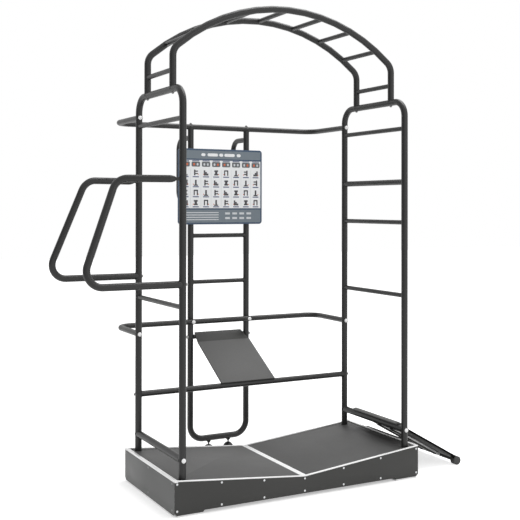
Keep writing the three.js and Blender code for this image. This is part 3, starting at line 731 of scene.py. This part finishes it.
class RACK_OT_stage(RackOperator, bpy.types.Operator):
    """Set the camera, the floor, the lamps and the white surroundings"""

    bl_idname = "rack.stage"
    bl_label = "Stage"

    WHITE = (1, 1, 1, 1)
    FLOOR_GREY = (0.8, 0.8, 0.8, 1)
    FLOOR_WIDTH = 40
    FARTHEST = 60
    SENSOR = 36
    # How far the picture's middle lies off the view, as shares of its width
    SHIFT = (-0.0015, -0.1133)
    # The floor's own light along X, as (start, end, light at the start, light at the end):
    # where it is seen straight it rises at the rack's right end, painted light that lightens the
    # shadow there, and in gloss it rises from the far left
    SEEN_GLOW_AND_PAINTED_LIGHT = (0.66, 0.78, 0.45, 0.70)
    MIRRORED_GLOW = (-8.0, -1.5, 0.0, 0.45)
    # The surroundings' light in the same form: on matt surfaces by the height that they face,
    # and in gloss darker to the far left
    SKY_LIGHT = (-0.05, 0.9, 0.55, 0.9)
    MIRRORED_SKY = (-1.0, -0.72, 0.2, 1.0)
    # Each lamp's place, the place that it shines at, its width and its power
    LAMPS = {
        "top_lamp": ((1.7, 0.2, 5.4), (0, 0, 0.8), 3.4, 150),
        "front_lamp": ((2.2, -6.0, 3.2), (0, 0, 1.0), 3.5, 40),
    }

    def execute(self, context):
        scene = context.scene
        scene.view_settings.view_transform = "Standard"
        self.camera(scene, scene.rack_stage)
        self.floor()
        for name, values in self.LAMPS.items():
            self.lamp(scene, name, *values)
        self.surroundings(scene)
        return {"FINISHED"}

    def camera(self, scene, stage):
        camera = bpy.data.cameras.new("camera")
        camera.sensor_width = self.SENSOR
        camera.lens = stage.lens
        camera.shift_x, camera.shift_y = self.SHIFT
        camera.clip_end = self.FARTHEST
        holder = bpy.data.objects.new("camera", camera)
        scene.collection.objects.link(holder)
        turn = Matrix.Rotation(-stage.heading, 4, "Z")
        tilt = Matrix.Rotation(QUARTER + stage.pitch, 4, "X")
        roll = Matrix.Rotation(stage.roll, 4, "Z")
        holder.matrix_world = Matrix.Translation(stage.place) @ turn @ tilt @ roll
        scene.camera = holder

    def floor(self):
        deselect()
        bpy.ops.mesh.primitive_plane_add(size=self.FLOOR_WIDTH)
        floor = bpy.context.object
        floor.name = "floor"
        material = bpy.data.materials.new("floor")
        tree = new_tree(material)
        place = add_node(tree, "ShaderNodeTexCoord").outputs["Object"]
        along = add_node(tree, "ShaderNodeSeparateXYZ", {0: place}).outputs["X"]
        seen, mirrored = self.background_rays(tree)
        # The floor's glow, with painted light where it is seen straight at the rack's right end
        glow = calculate(
            tree, "ADD",
            calculate(tree, "MULTIPLY", seen, stretch(tree, along, *self.SEEN_GLOW_AND_PAINTED_LIGHT)),
            calculate(tree, "MULTIPLY", mirrored, stretch(tree, along, *self.MIRRORED_GLOW)))
        feed_node(tree, tree.nodes["Principled BSDF"], {
            "Base Color": self.FLOOR_GREY, "Roughness": 0.9, "Specular IOR Level": 0.1,
            "Emission Color": self.WHITE, "Emission Strength": glow})
        floor.data.materials.append(material)

    def lamp(self, scene, name, place, target, width, power):
        light = bpy.data.lights.new(name, "AREA")
        light.shape = "SQUARE"
        light.size = width
        light.energy = power
        holder = bpy.data.objects.new(name, light)
        scene.collection.objects.link(holder)
        aim = (Vector(target) - Vector(place)).to_track_quat("-Z", "Y")
        holder.matrix_world = Matrix.Translation(place) @ aim.to_matrix().to_4x4()

    def surroundings(self, scene):
        scene.world = bpy.data.worlds.new("surroundings")
        tree = new_tree(scene.world)
        direction = add_node(tree, "ShaderNodeTexCoord").outputs["Generated"]
        parts = add_node(tree, "ShaderNodeSeparateXYZ", {0: direction}).outputs
        seen, mirrored = self.background_rays(tree)
        matt = stretch(tree, parts["Z"], *self.SKY_LIGHT)
        gloss = stretch(tree, parts["X"], *self.MIRRORED_SKY)
        strength = mix_number(tree, mirrored, mix_number(tree, seen, matt, 1.0), gloss)
        feed_node(tree, tree.nodes["Background"], {"Color": self.WHITE, "Strength": strength})

    def background_rays(self, tree):
        """1 for rays that see the background straight or through glass, and for those off gloss"""
        path = add_node(tree, "ShaderNodeLightPath").outputs
        seen = calculate(tree, "MAXIMUM", path["Is Camera Ray"], path["Is Transmission Ray"])
        return seen, path["Is Glossy Ray"]


class RACK_OT_side_frames(RackOperator, bpy.types.Operator):
    """Bend the two side frames and weld in their rungs"""

    bl_idname = "rack.side_frames"
    bl_label = "Side frames"

    def execute(self, context):
        for side, sign in SIDES.items():
            x = sign * FRAME_X
            corners = [(x, -FRAME_Y, FRAME_FOOT), (x, -FRAME_Y, FRAME_TOP),
                       (x, FRAME_Y, FRAME_TOP), (x, FRAME_Y, FRAME_FOOT)]
            tube = bent_tube(corners, context.scene.rack_tubes.frame_corner, POST)
            settle_tube([tube], f"side_frame_{side}")
            for place in RUNG_PLACES[side]:
                node = f"{side}_rung_{place}"
                height = middle(node).z
                welded_rung(
                    node, (x, -FRAME_Y, height), (x, FRAME_Y, height), size(node).z / 2)
        return {"FINISHED"}


class RACK_OT_arch(RackOperator, bpy.types.Operator):
    """Bend the two arch rails and weld in their rungs"""

    bl_idname = "rack.arch"
    bl_label = "Arch"

    def execute(self, context):
        tubes = context.scene.rack_tubes
        foot = FRAME_TOP + POST / 2
        bend_z = FRAME_TOP + tubes.arch_leg
        bend_x = FRAME_X - tubes.arch_bend
        rise = ARCH_TOP - bend_z
        radius = (bend_x ** 2 + rise ** 2 - tubes.arch_bend ** 2) / (2 * (rise - tubes.arch_bend))
        meet = math.asin(bend_x / (radius - tubes.arch_bend))
        for place, y in (("front", -ARCH_Y), ("rear", ARCH_Y)):
            steps = [
                ("run", Vector((0, 0, bend_z - foot))),
                ("bend", Vector((-bend_x, y, bend_z)), Y, QUARTER - meet),
                ("bend", Vector((0, y, ARCH_TOP - radius)), Y, 2 * meet),
                ("bend", Vector((bend_x, y, bend_z)), Y, QUARTER - meet),
                ("run", Vector((0, 0, foot - bend_z))),
            ]
            parts = [driven_tube(Vector((-FRAME_X, y, foot)), Z, steps, POST)]
            for x in (-FRAME_X, FRAME_X):
                parts.append(weld((x, y, FRAME_TOP + POST), Z, POST, Y))
            settle_tube(parts, f"arch_rail_{place}")
        rungs = ["arch_leg_rung_left", "arch_leg_rung_right"]
        for node in rungs + [f"arch_rung_{i}" for i in range(1, 8)]:
            x, z = middle(node).x, middle(node).z
            along = Vector((z - ARCH_TOP + radius, 0, -x)).normalized()
            if node in rungs:
                along = Z
            welded_rung(node, (x, -ARCH_Y, z), (x, ARCH_Y, z), RUNG, along)
        return {"FINISHED"}


class RACK_OT_rails(RackOperator, bpy.types.Operator):
    """Bend the hand rails round the back and fit the mid bar"""

    bl_idname = "rack.rails"
    bl_label = "Hand rails"

    def execute(self, context):
        rails = {"upper": (UPPER_RAIL, REAR_Y), "lower": (LOWER_RAIL, LOWER_RAIL_Y)}
        start = FRAME_Y + POST * SUNK
        for place, (height, back) in rails.items():
            corners = [(-FRAME_X, start, height), (-FRAME_X, back, height),
                       (FRAME_X, back, height), (FRAME_X, start, height)]
            parts = [bent_tube(corners, context.scene.rack_tubes.wrap_corner, WRAP)]
            for x in (-FRAME_X, FRAME_X):
                parts.append(weld((x, FRAME_Y + POST, height), Y, WRAP))
            settle_tube(parts, f"{place}_wrap_rail")
        welded_rung("mid_bar", (-FRAME_X, FRAME_Y, MID_BAR), (FRAME_X, FRAME_Y, MID_BAR), WRAP)
        return {"FINISHED"}


class RACK_OT_rear_ladder(RackOperator, bpy.types.Operator):
    """Bend the rear frame, weld in its rungs and add the grips behind it"""

    bl_idname = "rack.rear_ladder"
    bl_label = "Rear ladder"

    def execute(self, context):
        tubes = context.scene.rack_tubes
        top = UPPER_RAIL - WRAP * SUNK
        corners = [(-REAR_X, REAR_Y, top), (-REAR_X, REAR_Y, REAR_BOTTOM),
                   (REAR_X, REAR_Y, REAR_BOTTOM), (REAR_X, REAR_Y, top)]
        parts = [bent_tube(corners, tubes.rear_corner, POST)]
        # The posts are as wide as the rail over them, so their beads lie closer and flatter
        for x in (-REAR_X, REAR_X):
            parts.append(weld((x, REAR_Y, UPPER_RAIL - WRAP), -Z, POST * 0.96, X, WRAP * 1.2))
        settle_tube(parts, "rear_ladder_frame")
        for i in (1, 2, 3):
            height = middle(f"rear_rung_{i}").z
            welded_rung(f"rear_rung_{i}", (-REAR_X, REAR_Y, height), (REAR_X, REAR_Y, height), RUNG)
        for side, sign in SIDES.items():
            node = f"rear_grip_{side}"
            x = sign * REAR_X
            start, back = REAR_Y + POST * SUNK, high(node).y - WRAP
            upper, lower = high(node).z - WRAP, low(node).z + WRAP
            corners = [(x, start, upper), (x, back, upper), (x, back, lower), (x, start, lower)]
            parts = [bent_tube(corners, tubes.grip_corner, WRAP)]
            for height in (upper, lower):
                parts.append(weld((x, REAR_Y + POST, height), Y, WRAP))
            settle_tube(parts, node)
        return {"FINISHED"}


class RACK_OT_dip_handles(RackOperator, bpy.types.Operator):
    """Bend the two dip handles on the left frame"""

    bl_idname = "rack.dip_handles"
    bl_label = "Dip handles"

    # Radius and place of each ring of a narrowed end, as shares of the tube's and the end's
    NOSE = ((0.62, 0), (0.70, 0.04), (0.80, 0.25), (0.93, 0.6), (0.985, 0.85), (1, 1.02))

    def execute(self, context):
        tubes = context.scene.rack_tubes
        lean = tubes.dip_toe_in / tubes.dip_upper_reach
        neck_radius = tubes.dip_neck_diameter / 2
        start = POST + tubes.dip_neck
        inner, post_share = POST * 0.3, 0.8
        for place, side in (("front", -1), ("rear", 1)):
            node = f"dip_handle_{place}"
            y = side * FRAME_Y
            upper, lower = high(node).z - POST + tubes.dip_rise, low(node).z + POST

            def top_point(reach):
                return Vector((-FRAME_X - reach, y - side * lean * reach, upper))

            along = (top_point(1) - top_point(0)).normalized()
            loop = bent_tube([
                top_point(start + tubes.dip_end), top_point(tubes.dip_upper_reach),
                (-FRAME_X - tubes.dip_lower_reach, y, lower), (-FRAME_X - inner, y, lower),
            ], tubes.dip_corner, POST)
            nose = turned([(POST * r, tubes.dip_end * step) for r, step in self.NOSE], tubes.sides)
            nose.data.transform(standing(top_point(start), along))
            neck = straight_tube(
                top_point(POST * post_share), top_point(start + POST / 4), neck_radius)
            settle_tube([
                loop, nose, neck, weld(top_point(POST), along, neck_radius),
                weld((-FRAME_X - POST, y, lower), -X, POST),
            ], node)
        return {"FINISHED"}


class RACK_OT_platform(RackOperator, bpy.types.Operator):
    """Lay the mats, trims and strip on the deck and close it with its skirts"""

    bl_idname = "rack.platform"
    bl_label = "Platform"

    def execute(self, context):
        # What the name ends in, the rounding of the edges in millimetres, finish and slot
        pad = ("pad", 1.5, "mat", "mat_rubber")
        trim = ("strip", 1.6, "gloss", "white_plastic")
        deck = ("plate", 0.8, "plate", "plate_paint")
        floor_pad = ("block", 1.5, "white", "white_plastic")
        sheet = ("sheet", 0.9, "plate", "plate_paint")
        rows = {
            "mat_left": pad, "mat_right": pad, "trim_left": trim, "trim_right": trim,
            "deck_left": deck, "deck_right": deck,
            "floor_pad_left": floor_pad, "floor_pad_right": floor_pad,
            "valley_strip": ("bar", 1.6, "white", "white_plastic"),
            "front_skirt": sheet, "rear_skirt": sheet,
            # Only the left end panel gets the lighter end paint, which is painted light
            "left_end_panel": ("sheet", 0.9, "end", "end_paint"), "right_end_panel": sheet,
            "bumper_bar": ("block", 4, "rubber", "foot_rubber"),
        }
        raised = ("trim_left", "trim_right", "front_skirt", "rear_skirt", "right_end_panel",
                  "bumper_bar")
        for node, row in rows.items():
            dress_plate(node, *row, before=self.raise_edge if node in raised else None)
        self.end_lip(context.scene.rack_fittings)
        for node, inward in (("front_skirt", Y), ("rear_skirt", -Y)):
            sheet = bpy.data.objects[f"{node}_sheet"]
            sheet.data.transform(Matrix.Translation(inward * SKIRT_SETBACK))
        dress_node("base_frame", "frame")
        dress_node("centre_foot", "rubber")
        return {"FINISHED"}

    def raise_edge(self, mesh):
        """Draws up the upper edge, most at the platform's ends"""
        lower_edges_end = 60 * MM
        for vertex in mesh.verts:
            if vertex.co.z > lower_edges_end:
                vertex.co.z += edge_rise(vertex.co.x)

    def end_lip(self, fittings):
        """The wide white lip along the left end"""
        gap = 0.6 * MM
        outer, bottom = low("trim_left").x, high("left_end_panel").z + gap
        width, height = fittings.lip_width, fittings.lip_height
        centre = Vector((outer + width / 2, 0, bottom + height / 2))
        lip = block(centre, (width, size("trim_left").y, height), height * 0.3)
        settle(lip, "end_lip", "gloss")


class RACK_OT_slant_board(RackOperator, bpy.types.Operator):
    """Dress the slanted foot board, its tread and its rod"""

    bl_idname = "rack.slant_board"
    bl_label = "Slant board"

    def execute(self, context):
        dress_plate("slant_board", "plate", 0.8, "plate", "plate_paint", "slant", self.shoulders)
        dress_plate("slant_tread", "sheet", 0.9, "tread", "tread_rubber", "slant")
        first, last, height = low("slant_rod").x, high("slant_rod").x, middle("slant_rod").z
        radius = size("slant_rod").z / 2
        rod = straight_tube(Vector((first, REAR_Y, height)), Vector((last, REAR_Y, height)), radius)
        bevel(rod, 1 * MM, 60)
        settle(rod, "slant_rod_bar", "steel", replaces=["slant_rod"])
        # The caps start inside the posts and stand a little over the rod and past its ends
        start, over = REAR_X + POST - 2 * MM, 1 * MM
        reach = last - start + 2 * MM
        cap = turned(dome_profile(radius + over, reach, reach * 0.6))
        ends = [((-start, REAR_Y, height), -X), ((start, REAR_Y, height), X)]
        place_all(cap, ends, "slant_rod_ends", "pale")
        return {"FINISHED"}

    def shoulders(self, mesh):
        """Moves the shoulders' inner corners onto straight lines up to the upper edge"""
        hinge = Vector((0, REAR_Y, middle("slant_rod").z))
        span = high("slant_board").x
        shoulder_zone, close = span * 0.85, 1 * MM
        down = middle("slant_tread") - hinge
        down.x = 0
        down.normalize()
        corners = [v for v in mesh.verts if abs(v.co.x) > shoulder_zone]
        upper = min((v.co - hinge).dot(down) for v in corners)
        neck = min(abs(v.co.x) for v in corners)
        inner = [v for v in corners if abs(v.co.x) < neck + close]
        start = min((v.co - hinge).dot(down) for v in corners if abs(v.co.x) > span - close)
        for vertex in inner:
            along = (vertex.co - hinge).dot(down)
            share = (along - upper) / (start - upper)
            vertex.co.x = math.copysign(neck + (span - neck) * share, vertex.co.x)


class RACK_OT_ramp(RackOperator, bpy.types.Operator):
    """Dress the sloped board on the right, its hook, foot tube and strips"""

    bl_idname = "rack.ramp"
    bl_label = "Sloped board"

    # How far the ribs go round the rung past the board's own slope
    HOOK_WRAP = math.radians(34)

    # Its level drawing has the rung's axis at the origin and the board's foot toward +X
    def execute(self, context):
        fittings = context.scene.rack_fittings
        foot = middle("ramp_foot_tube")
        self.angle = math.atan2(LOW_RUNG - foot.z, foot.x - FRAME_X)
        self.placed = (Matrix.Translation((FRAME_X, 0, LOW_RUNG))
                       @ Matrix.Rotation(self.angle, 4, "Y"))
        self.end = max(point.x for point in self.level_points("ramp_board"))
        board = ("plate", 1.2, "board", "plate_paint")
        strip = ("bar", 0.6, "light", "light_metal")
        dress_plate("ramp_board", *board, "ramp", self.draw_up)
        dress_plate("ramp_hook", "tread", 0.8, "tread", "tread_rubber", "ramp")
        # The strips' near-white finish is painted light
        dress_plate("ramp_strip_front", *strip, "ramp", self.draw_up)
        dress_plate("ramp_strip_rear", *strip, "ramp", self.draw_up)
        self.rollers(fittings)
        self.edging(fittings)
        self.lips(fittings)
        self.ribs(fittings)
        return {"FINISHED"}

    def level_points(self, node):
        """A node's corners in the level drawing"""
        back = self.placed.inverted()
        return [back @ vertex.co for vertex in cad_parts[node].data.vertices]

    def settle_level(self, pieces, name, finish, slot):
        """Joins pieces of the level drawing, puts them in their place and settles them"""
        whole = join(pieces)
        whole.data.transform(self.placed)
        settle(whole, name, finish, "ramp")

    def draw_up(self, mesh):
        """Draws up the board's underside and the strips, and runs the strips on to its foot"""
        fittings = bpy.context.scene.rack_fittings
        back = self.placed.inverted()
        level = {vertex: back @ vertex.co for vertex in mesh.verts}
        heights = [place.z for place in level.values()]
        strip, strip_foot = max(heights) < 0, min(heights) + 1 * MM
        centre = sum(place.y for place in level.values()) / len(level)
        for vertex, place in level.items():
            if place.z < 0 and not (strip and place.z < strip_foot):
                place.z += fittings.board_lift
            if strip and place.x > self.end / 2:
                place.x = self.end - fittings.strip_gap
            if strip:
                place.y = centre + math.copysign(fittings.strip_width / 2, place.y - centre)
            vertex.co = self.placed @ place

    def rollers(self, fittings):
        """The two round ends of the foot and the thin axle between them"""
        node = "ramp_foot_tube"
        radius, span = size(node).z / 2, size(node).y
        axle, edge, roller = radius * 0.4, 0.6 * MM, fittings.roller_length
        half = [(radius - edge, 0), (radius, edge), (radius, roller - edge),
                (radius - edge, roller), (axle, roller)]
        roll = turned(half + [(r, span - place) for r, place in reversed(half)], 32)
        foot = middle(node)
        roll.data.transform(standing(Vector((foot.x, low(node).y, foot.z)), Y))
        settle(roll, "ramp_foot_tube_roll", "cap", "ramp", [node])

    def edging(self, fittings):
        """Black edging along the board's two long sides, with a cap at each lower end; its
        near-black, dull finish also paints the shade of the gap under the board's top edge
        """
        points = self.level_points("ramp_board")
        start, top = min(point.x for point in points), max(point.z for point in points)
        front, rear = min(point.y for point in points), max(point.y for point in points)
        depth, cap = fittings.board_edging, fittings.board_end
        thickness, edge = depth / 8, depth / 20
        cap_inset, cap_drop = 10 * MM, 2.5 * MM
        side = top + cap_drop - fittings.board_lift
        parts = []
        for y, sign in ((front, -1), (rear, 1)):
            y += sign * thickness / 2
            centre = Vector(((start + self.end) / 2, y, top - depth / 2))
            parts.append(block(centre, (self.end - start - 2 * depth, thickness, depth), edge))
            centre = Vector((self.end - cap_inset - cap / 2, y, top - side / 2))
            parts.append(block(centre, (cap, thickness * 1.2, side), edge))
        self.settle_level(parts, "ramp_edging", "edging", "foot_rubber")

    def lips(self, fittings):
        """The dark lip under each light strip"""
        lip, last = fittings.strip_lip, self.end - fittings.lip_gap
        parts = []
        for node in ("ramp_strip_front", "ramp_strip_rear"):
            points = self.level_points(node)
            first, bottom = min(point.x for point in points), min(point.z for point in points)
            y = sum(point.y for point in points) / len(points)
            centre = Vector(((first + last) / 2, y, bottom - lip / 2))
            parts.append(block(centre, (last - first, fittings.strip_width, lip), lip / 8))
        self.settle_level(parts, "ramp_strip_lips", "cap", "foot_rubber")

    def ribs(self, fittings):
        """Ribs along the rung, over the round of the hook"""
        outer, inset = high("ramp_hook").z - LOW_RUNG, 2 * MM
        front, back = low("ramp_hook").y, high("ramp_hook").y
        wrap = self.angle + self.HOOK_WRAP
        along = Vector((0, back - front - 2 * inset, 0))
        parts = []
        for k in range(fittings.hook_ribs):
            turn = wrap * (k + 0.5) / fittings.hook_ribs
            place = Vector((-outer * math.sin(turn), front + inset, outer * math.cos(turn)))
            parts.append(driven_tube(place, Y, [("run", along)], fittings.rib_radius, 10))
        self.settle_level(parts, "ramp_hook_ribs", "rib", "tread_rubber")


class RACK_OT_feet(RackOperator, bpy.types.Operator):
    """Turn the two levelling feet under the rear frame"""

    bl_idname = "rack.feet"
    bl_label = "Levelling feet"

    def execute(self, context):
        for side in SIDES:
            node = f"levelling_foot_{side}"
            foot = self.foot(context.scene.rack_fittings, size(node).x / 2)
            foot.data.transform(Matrix.Translation((middle(node).x, REAR_Y, low(node).z)))
            settle(foot, f"{node}_bell", "steel", f"foot_{side}", [node])
        return {"FINISHED"}

    def foot(self, fittings, radius):
        """A bell on a straight rim, its screw and the collar under the tube"""
        stem, dome, rim = fittings.foot_stem, fittings.foot_dome, fittings.foot_rim
        steps, turns, clearance = 12, 8, 0.4 * MM
        bell = [(radius * 0.96, 0), (radius, radius * 0.04)]
        for k in range(steps + 1):
            angle = QUARTER * k / steps
            bell.append((max(stem, radius * math.cos(angle)), rim + (dome - rim) * math.sin(angle)))
        top = REAR_BOTTOM - POST - clearance
        collar = top - fittings.foot_collar_height
        thread = []
        for k in range(turns * 2 + 1):
            height = dome - stem + (collar + stem - dome + stem) * k / turns / 2
            thread.append((stem * (1 if k % 2 else 0.86), height))
        cone = [(stem * 1.1, collar), (fittings.foot_collar, top - stem / 2),
                (fittings.foot_collar, top)]
        return join([turned(bell, 48), turned(thread, 20), turned(cone, 32)])


class RACK_OT_sign(RackOperator, bpy.types.Operator):
    """Make the printed board on the rear posts"""

    bl_idname = "rack.sign"
    bl_label = "Sign board"

    # The bars of each figure: width, height, and place aside and up, as shares of a cell
    FIGURES = (
        ((0.18, 0.50, 0, 0.02), (0.46, 0.12, 0, -0.26)),
        ((0.16, 0.20, -0.17, -0.18), (0.16, 0.36, 0, -0.10), (0.16, 0.52, 0.17, -0.02)),
        ((0.13, 0.50, -0.17, -0.02), (0.13, 0.50, 0.17, -0.02), (0.46, 0.13, 0, 0.22)),
        ((0.15, 0.58, -0.12, 0), (0.34, 0.12, 0.06, 0.14), (0.34, 0.12, 0.06, -0.10)),
        ((0.42, 0.16, 0, 0.18), (0.26, 0.20, 0, 0), (0.42, 0.16, 0, -0.18)),
    )

    def execute(self, context):
        dress_plate("sign_board", "panel", 1.2, "sign_rim", "sign_face")
        sign = context.scene.rack_sign
        self.ink, self.front = sign.ink, low("sign_board").y
        left, right = low("sign_board").x + sign.rim, high("sign_board").x - sign.rim
        bottom, top = low("sign_board").z + sign.rim, high("sign_board").z - sign.rim
        across, width = (left + right) / 2, right - left
        header, footer = top - sign.header, bottom + sign.footer
        paper_top, paper_bottom = header - sign.line, footer + sign.line
        self.patches("sign_bands", "sign_band", 1, [
            (width, sign.header, [(across, (top + header) / 2)]),
            (width, sign.footer, [(across, (bottom + footer) / 2)]),
        ], 4 * MM)
        self.patches("sign_paper", "sign_paper", 1, [
            (width, paper_top - paper_bottom, [(across, (paper_top + paper_bottom) / 2)]),
        ])
        self.header_marks(across, (top + header) / 2, width, sign.header)
        self.footer_marks(left, right, (bottom + footer) / 2, sign.footer)
        pitch = width / sign.columns
        columns = [left + pitch * (i + 0.5) for i in range(sign.columns)]
        self.tab_row(columns, pitch, paper_top - sign.tabs / 2, sign.tabs)
        cells_top = paper_top - sign.tabs
        drop = (cells_top - paper_bottom) / sign.rows
        heights = [cells_top - drop * (j + 0.5) for j in range(sign.rows)]
        # Thin grey lines between the columns
        lines = [(x - pitch / 2, (cells_top + paper_bottom) / 2) for x in columns[1:]]
        self.patches("sign_cell_lines", "sign_line", 2, [
            (1.6 * MM, (cells_top - paper_bottom) * 0.94, lines)])
        self.motifs(columns, heights, min(pitch, drop))
        return {"FINISHED"}

    def patches(self, name, finish, layer, rows, corner=0.0):
        """Prints rows of like patches: (width, height, [(x, z), ...]), one layer over another"""
        made = []
        for width, height, places in rows:
            rounding = min(corner, width * 0.49, height * 0.49)
            model = thick_patch(width, height, self.ink * layer, corner=rounding)
            model.data.transform(Matrix.Rotation(QUARTER, 4, "X"))
            made += copies(model, [Matrix.Translation((x, self.front, z)) for x, z in places])
        settle(join(made), name, finish)

    def header_marks(self, x, z, width, height):
        """A row of plain light lozenges"""
        long_bar, short_bar, step = width * 0.13, width * 0.05, width * 0.105
        self.patches("sign_header_marks", "sign_paper", 2, [
            (long_bar, height * 0.36, [(x - step, z), (x + step, z)]),
            (short_bar, height * 0.36, [(x - 2.1 * step, z), (x, z), (x + 2.1 * step, z)]),
        ], height * 0.16)

    def footer_marks(self, left, right, z, height):
        """Plain light bars on the left, a block of short ones on the right"""
        width = right - left
        lines = [z + height * (0.27 - 0.18 * i) for i in range(4)]
        bars = [(left + width * 0.27, line) for line in lines]
        short = [(left + width * (0.58 + 0.09 * (i % 4)), z + height * (0.2 - 0.36 * (i // 4)))
                 for i in range(8)]
        self.patches("sign_footer_marks", "sign_line", 2, [
            (width * 0.40, height * 0.07, bars), (width * 0.06, height * 0.16, short),
        ], height * 0.03)
        spots = [(left + width * 0.04, line) for line in lines[::3]]
        self.patches("sign_footer_spots", "sign_orange", 2, [
            (height * 0.1, height * 0.1, spots)], height * 0.04)

    def tab_row(self, columns, pitch, z, height):
        """One rounded tab over each column, with a light and an orange dot by turns"""
        tabs, dashes = [(x, z) for x in columns], [(x, z + height * 0.42) for x in columns]
        self.patches("sign_tabs", "sign_tab", 2, [
            (pitch * 0.82, height * 0.62, tabs)], height * 0.14)
        spots = {"sign_line": [], "sign_orange": []}
        for i, x in enumerate(columns):
            for k, side in enumerate((-1, 1)):
                colour = "sign_orange" if (i + k) % 3 == 1 else "sign_line"
                spots[colour].append((x + side * pitch * 0.17, z - height * 0.02))
        for colour, places in spots.items():
            self.patches(f"{colour}_spots", colour, 3, [
                (pitch * 0.17, height * 0.3, places)], height * 0.08)
        self.patches("sign_tab_dashes", "sign_navy", 2, [(pitch * 0.7, height * 0.1, dashes)])

    def motifs(self, columns, heights, cell):
        """A plain figure of bars in each cell: pillar, steps, gate, ladder or spool"""
        bars, spots, dashes = [], [], []
        for j, z in enumerate(heights):
            for i, x in enumerate(columns):
                figure = self.FIGURES[(i * 3 + j * 2) % len(self.FIGURES)]
                flip = 1 if (i + j) % 2 else -1
                centre = z + cell * 0.06
                for width, height, aside, up in figure:
                    place = (x + flip * aside * cell, centre + up * cell)
                    bars.append((width * cell, height * cell, [place]))
                spots.append((x + flip * cell * 0.27, centre - cell * 0.16))
                dashes.append((x, z - cell * 0.36))
        self.patches("sign_figures", "sign_ink", 2, bars, cell * 0.02)
        self.patches("sign_figure_spots", "sign_orange", 2, [
            (cell * 0.10, cell * 0.10, spots)], cell * 0.04)
        self.patches("sign_figure_dashes", "sign_navy", 2, [(cell * 0.66, cell * 0.10, dashes)])


class RACK_OT_fasteners(RackOperator, bpy.types.Operator):
    """Add bolt caps, domed nuts and panel screws"""

    bl_idname = "rack.fasteners"
    bl_label = "Fasteners"

    def execute(self, context):
        # How far a cap or a nut sinks into its round tube, and the arch's nuts under theirs
        sunk, arch_sunk = 1 * MM, 3 * MM
        ends, rear_ends = (-FRAME_X, FRAME_X), (-REAR_X, REAR_X)
        caps = [((x, -FRAME_Y - POST + sunk, LOW_RUNG), -Y) for x in ends]
        for x in ends:
            for height in (UPPER_RAIL, LOWER_RAIL):
                caps.append(((x, FRAME_Y - POST + sunk, height), -Y))
        for x in rear_ends:
            caps.append(((x, LOWER_RAIL_Y - WRAP + sunk, LOWER_RAIL), -Y))
        place_all(bolt_cap(), caps, "bolt_caps", "gloss")
        # Dark rings round the caps: painted shade
        place_all(cap_shade_ring(), caps, "cap_washers", "rubber")
        nuts = [((x, REAR_Y, UPPER_RAIL + WRAP - sunk), Z) for x in rear_ends]
        for sign, x in zip(SIDES.values(), ends):
            nuts.append(((sign * (FRAME_X + POST - sunk), FRAME_Y, MID_BAR), X * sign))
            for y in (-ARCH_Y, ARCH_Y):
                nuts.append(((x, y, FRAME_TOP - POST + arch_sunk), -Z))
        lower_dip = low("dip_handle_front").z + POST
        dip_ends = [((-FRAME_X + POST - sunk, y, lower_dip), X) for y in (-FRAME_Y, FRAME_Y)]
        place_all(dome_nut(), dip_ends, "dip_end_caps", "pale")
        place_all(dome_nut(), nuts, "dome_nuts", "nut")
        self.screws(context.scene.rack_fittings)
        return {"FINISHED"}

    def screws(self, fittings):
        """Two rows of screws on each skirt and each end panel"""
        front, back = low("front_skirt").y + SKIRT_SETBACK, high("rear_skirt").y - SKIRT_SETBACK
        half, end = high("front_skirt").x, high("front_skirt").z
        corners = [vertex.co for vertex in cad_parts["front_skirt"].data.vertices]
        valley = max(corner.z for corner in corners if abs(corner.x) < 1 * MM)
        places, left = [], []
        for i in range(-3, 4):
            x = i * fittings.skirt_spacing
            top = valley + (end - valley) * abs(x) / half - fittings.screw_inset + edge_rise(x) / 2
            for height in (top, fittings.screw_height):
                places += [((x, front, height), -Y), ((x, back, height), Y)]
        for i in (-1, 0, 1):
            y = i * fittings.panel_spacing
            for height in (high("left_end_panel").z - fittings.screw_inset, fittings.screw_height):
                places.append(((high("right_end_panel").x, y, height), X))
                left.append(((low("left_end_panel").x, y, height), -X))
        place_all(panel_screw(), places, "panel_screws", "bright")
        place_all(panel_screw(), left, "end_panel_screws", "dull")


class RACK_PT_panel(bpy.types.Panel):
    """Lists the rack's pieces in the sidebar"""

    bl_label = "Stretching Rack"
    bl_idname = "RACK_PT_panel"
    bl_space_type = "VIEW_3D"
    bl_region_type = "UI"
    bl_category = "Stretching Rack"

    def draw(self, context):
        for operator in OPERATORS:
            self.layout.operator(operator.bl_idname)


OPERATORS = (
    RACK_OT_finishes, RACK_OT_stage, RACK_OT_side_frames, RACK_OT_arch, RACK_OT_rails,
    RACK_OT_rear_ladder, RACK_OT_dip_handles, RACK_OT_platform, RACK_OT_slant_board,
    RACK_OT_ramp, RACK_OT_feet, RACK_OT_sign, RACK_OT_fasteners,
)
SETTINGS = {
    "rack_tubes": RackTubes, "rack_fittings": RackFittings, "rack_sign": RackSign,
    "rack_finishes": RackFinishes, "rack_stage": RackStage,
}


def register():
    for group in SETTINGS.values():
        bpy.utils.register_class(group)
    for name, group in SETTINGS.items():
        setattr(bpy.types.Scene, name, PointerProperty(type=group))
    for operator in OPERATORS:
        bpy.utils.register_class(operator)
    bpy.utils.register_class(RACK_PT_panel)


def unregister():
    bpy.utils.unregister_class(RACK_PT_panel)
    for operator in reversed(OPERATORS):
        bpy.utils.unregister_class(operator)
    for name, group in SETTINGS.items():
        delattr(bpy.types.Scene, name)
        bpy.utils.unregister_class(group)


def main():
    register()
    for operator in OPERATORS:
        family, name = operator.bl_idname.split(".")
        getattr(getattr(bpy.ops, family), name)()


if __name__ == "__main__":
    main()
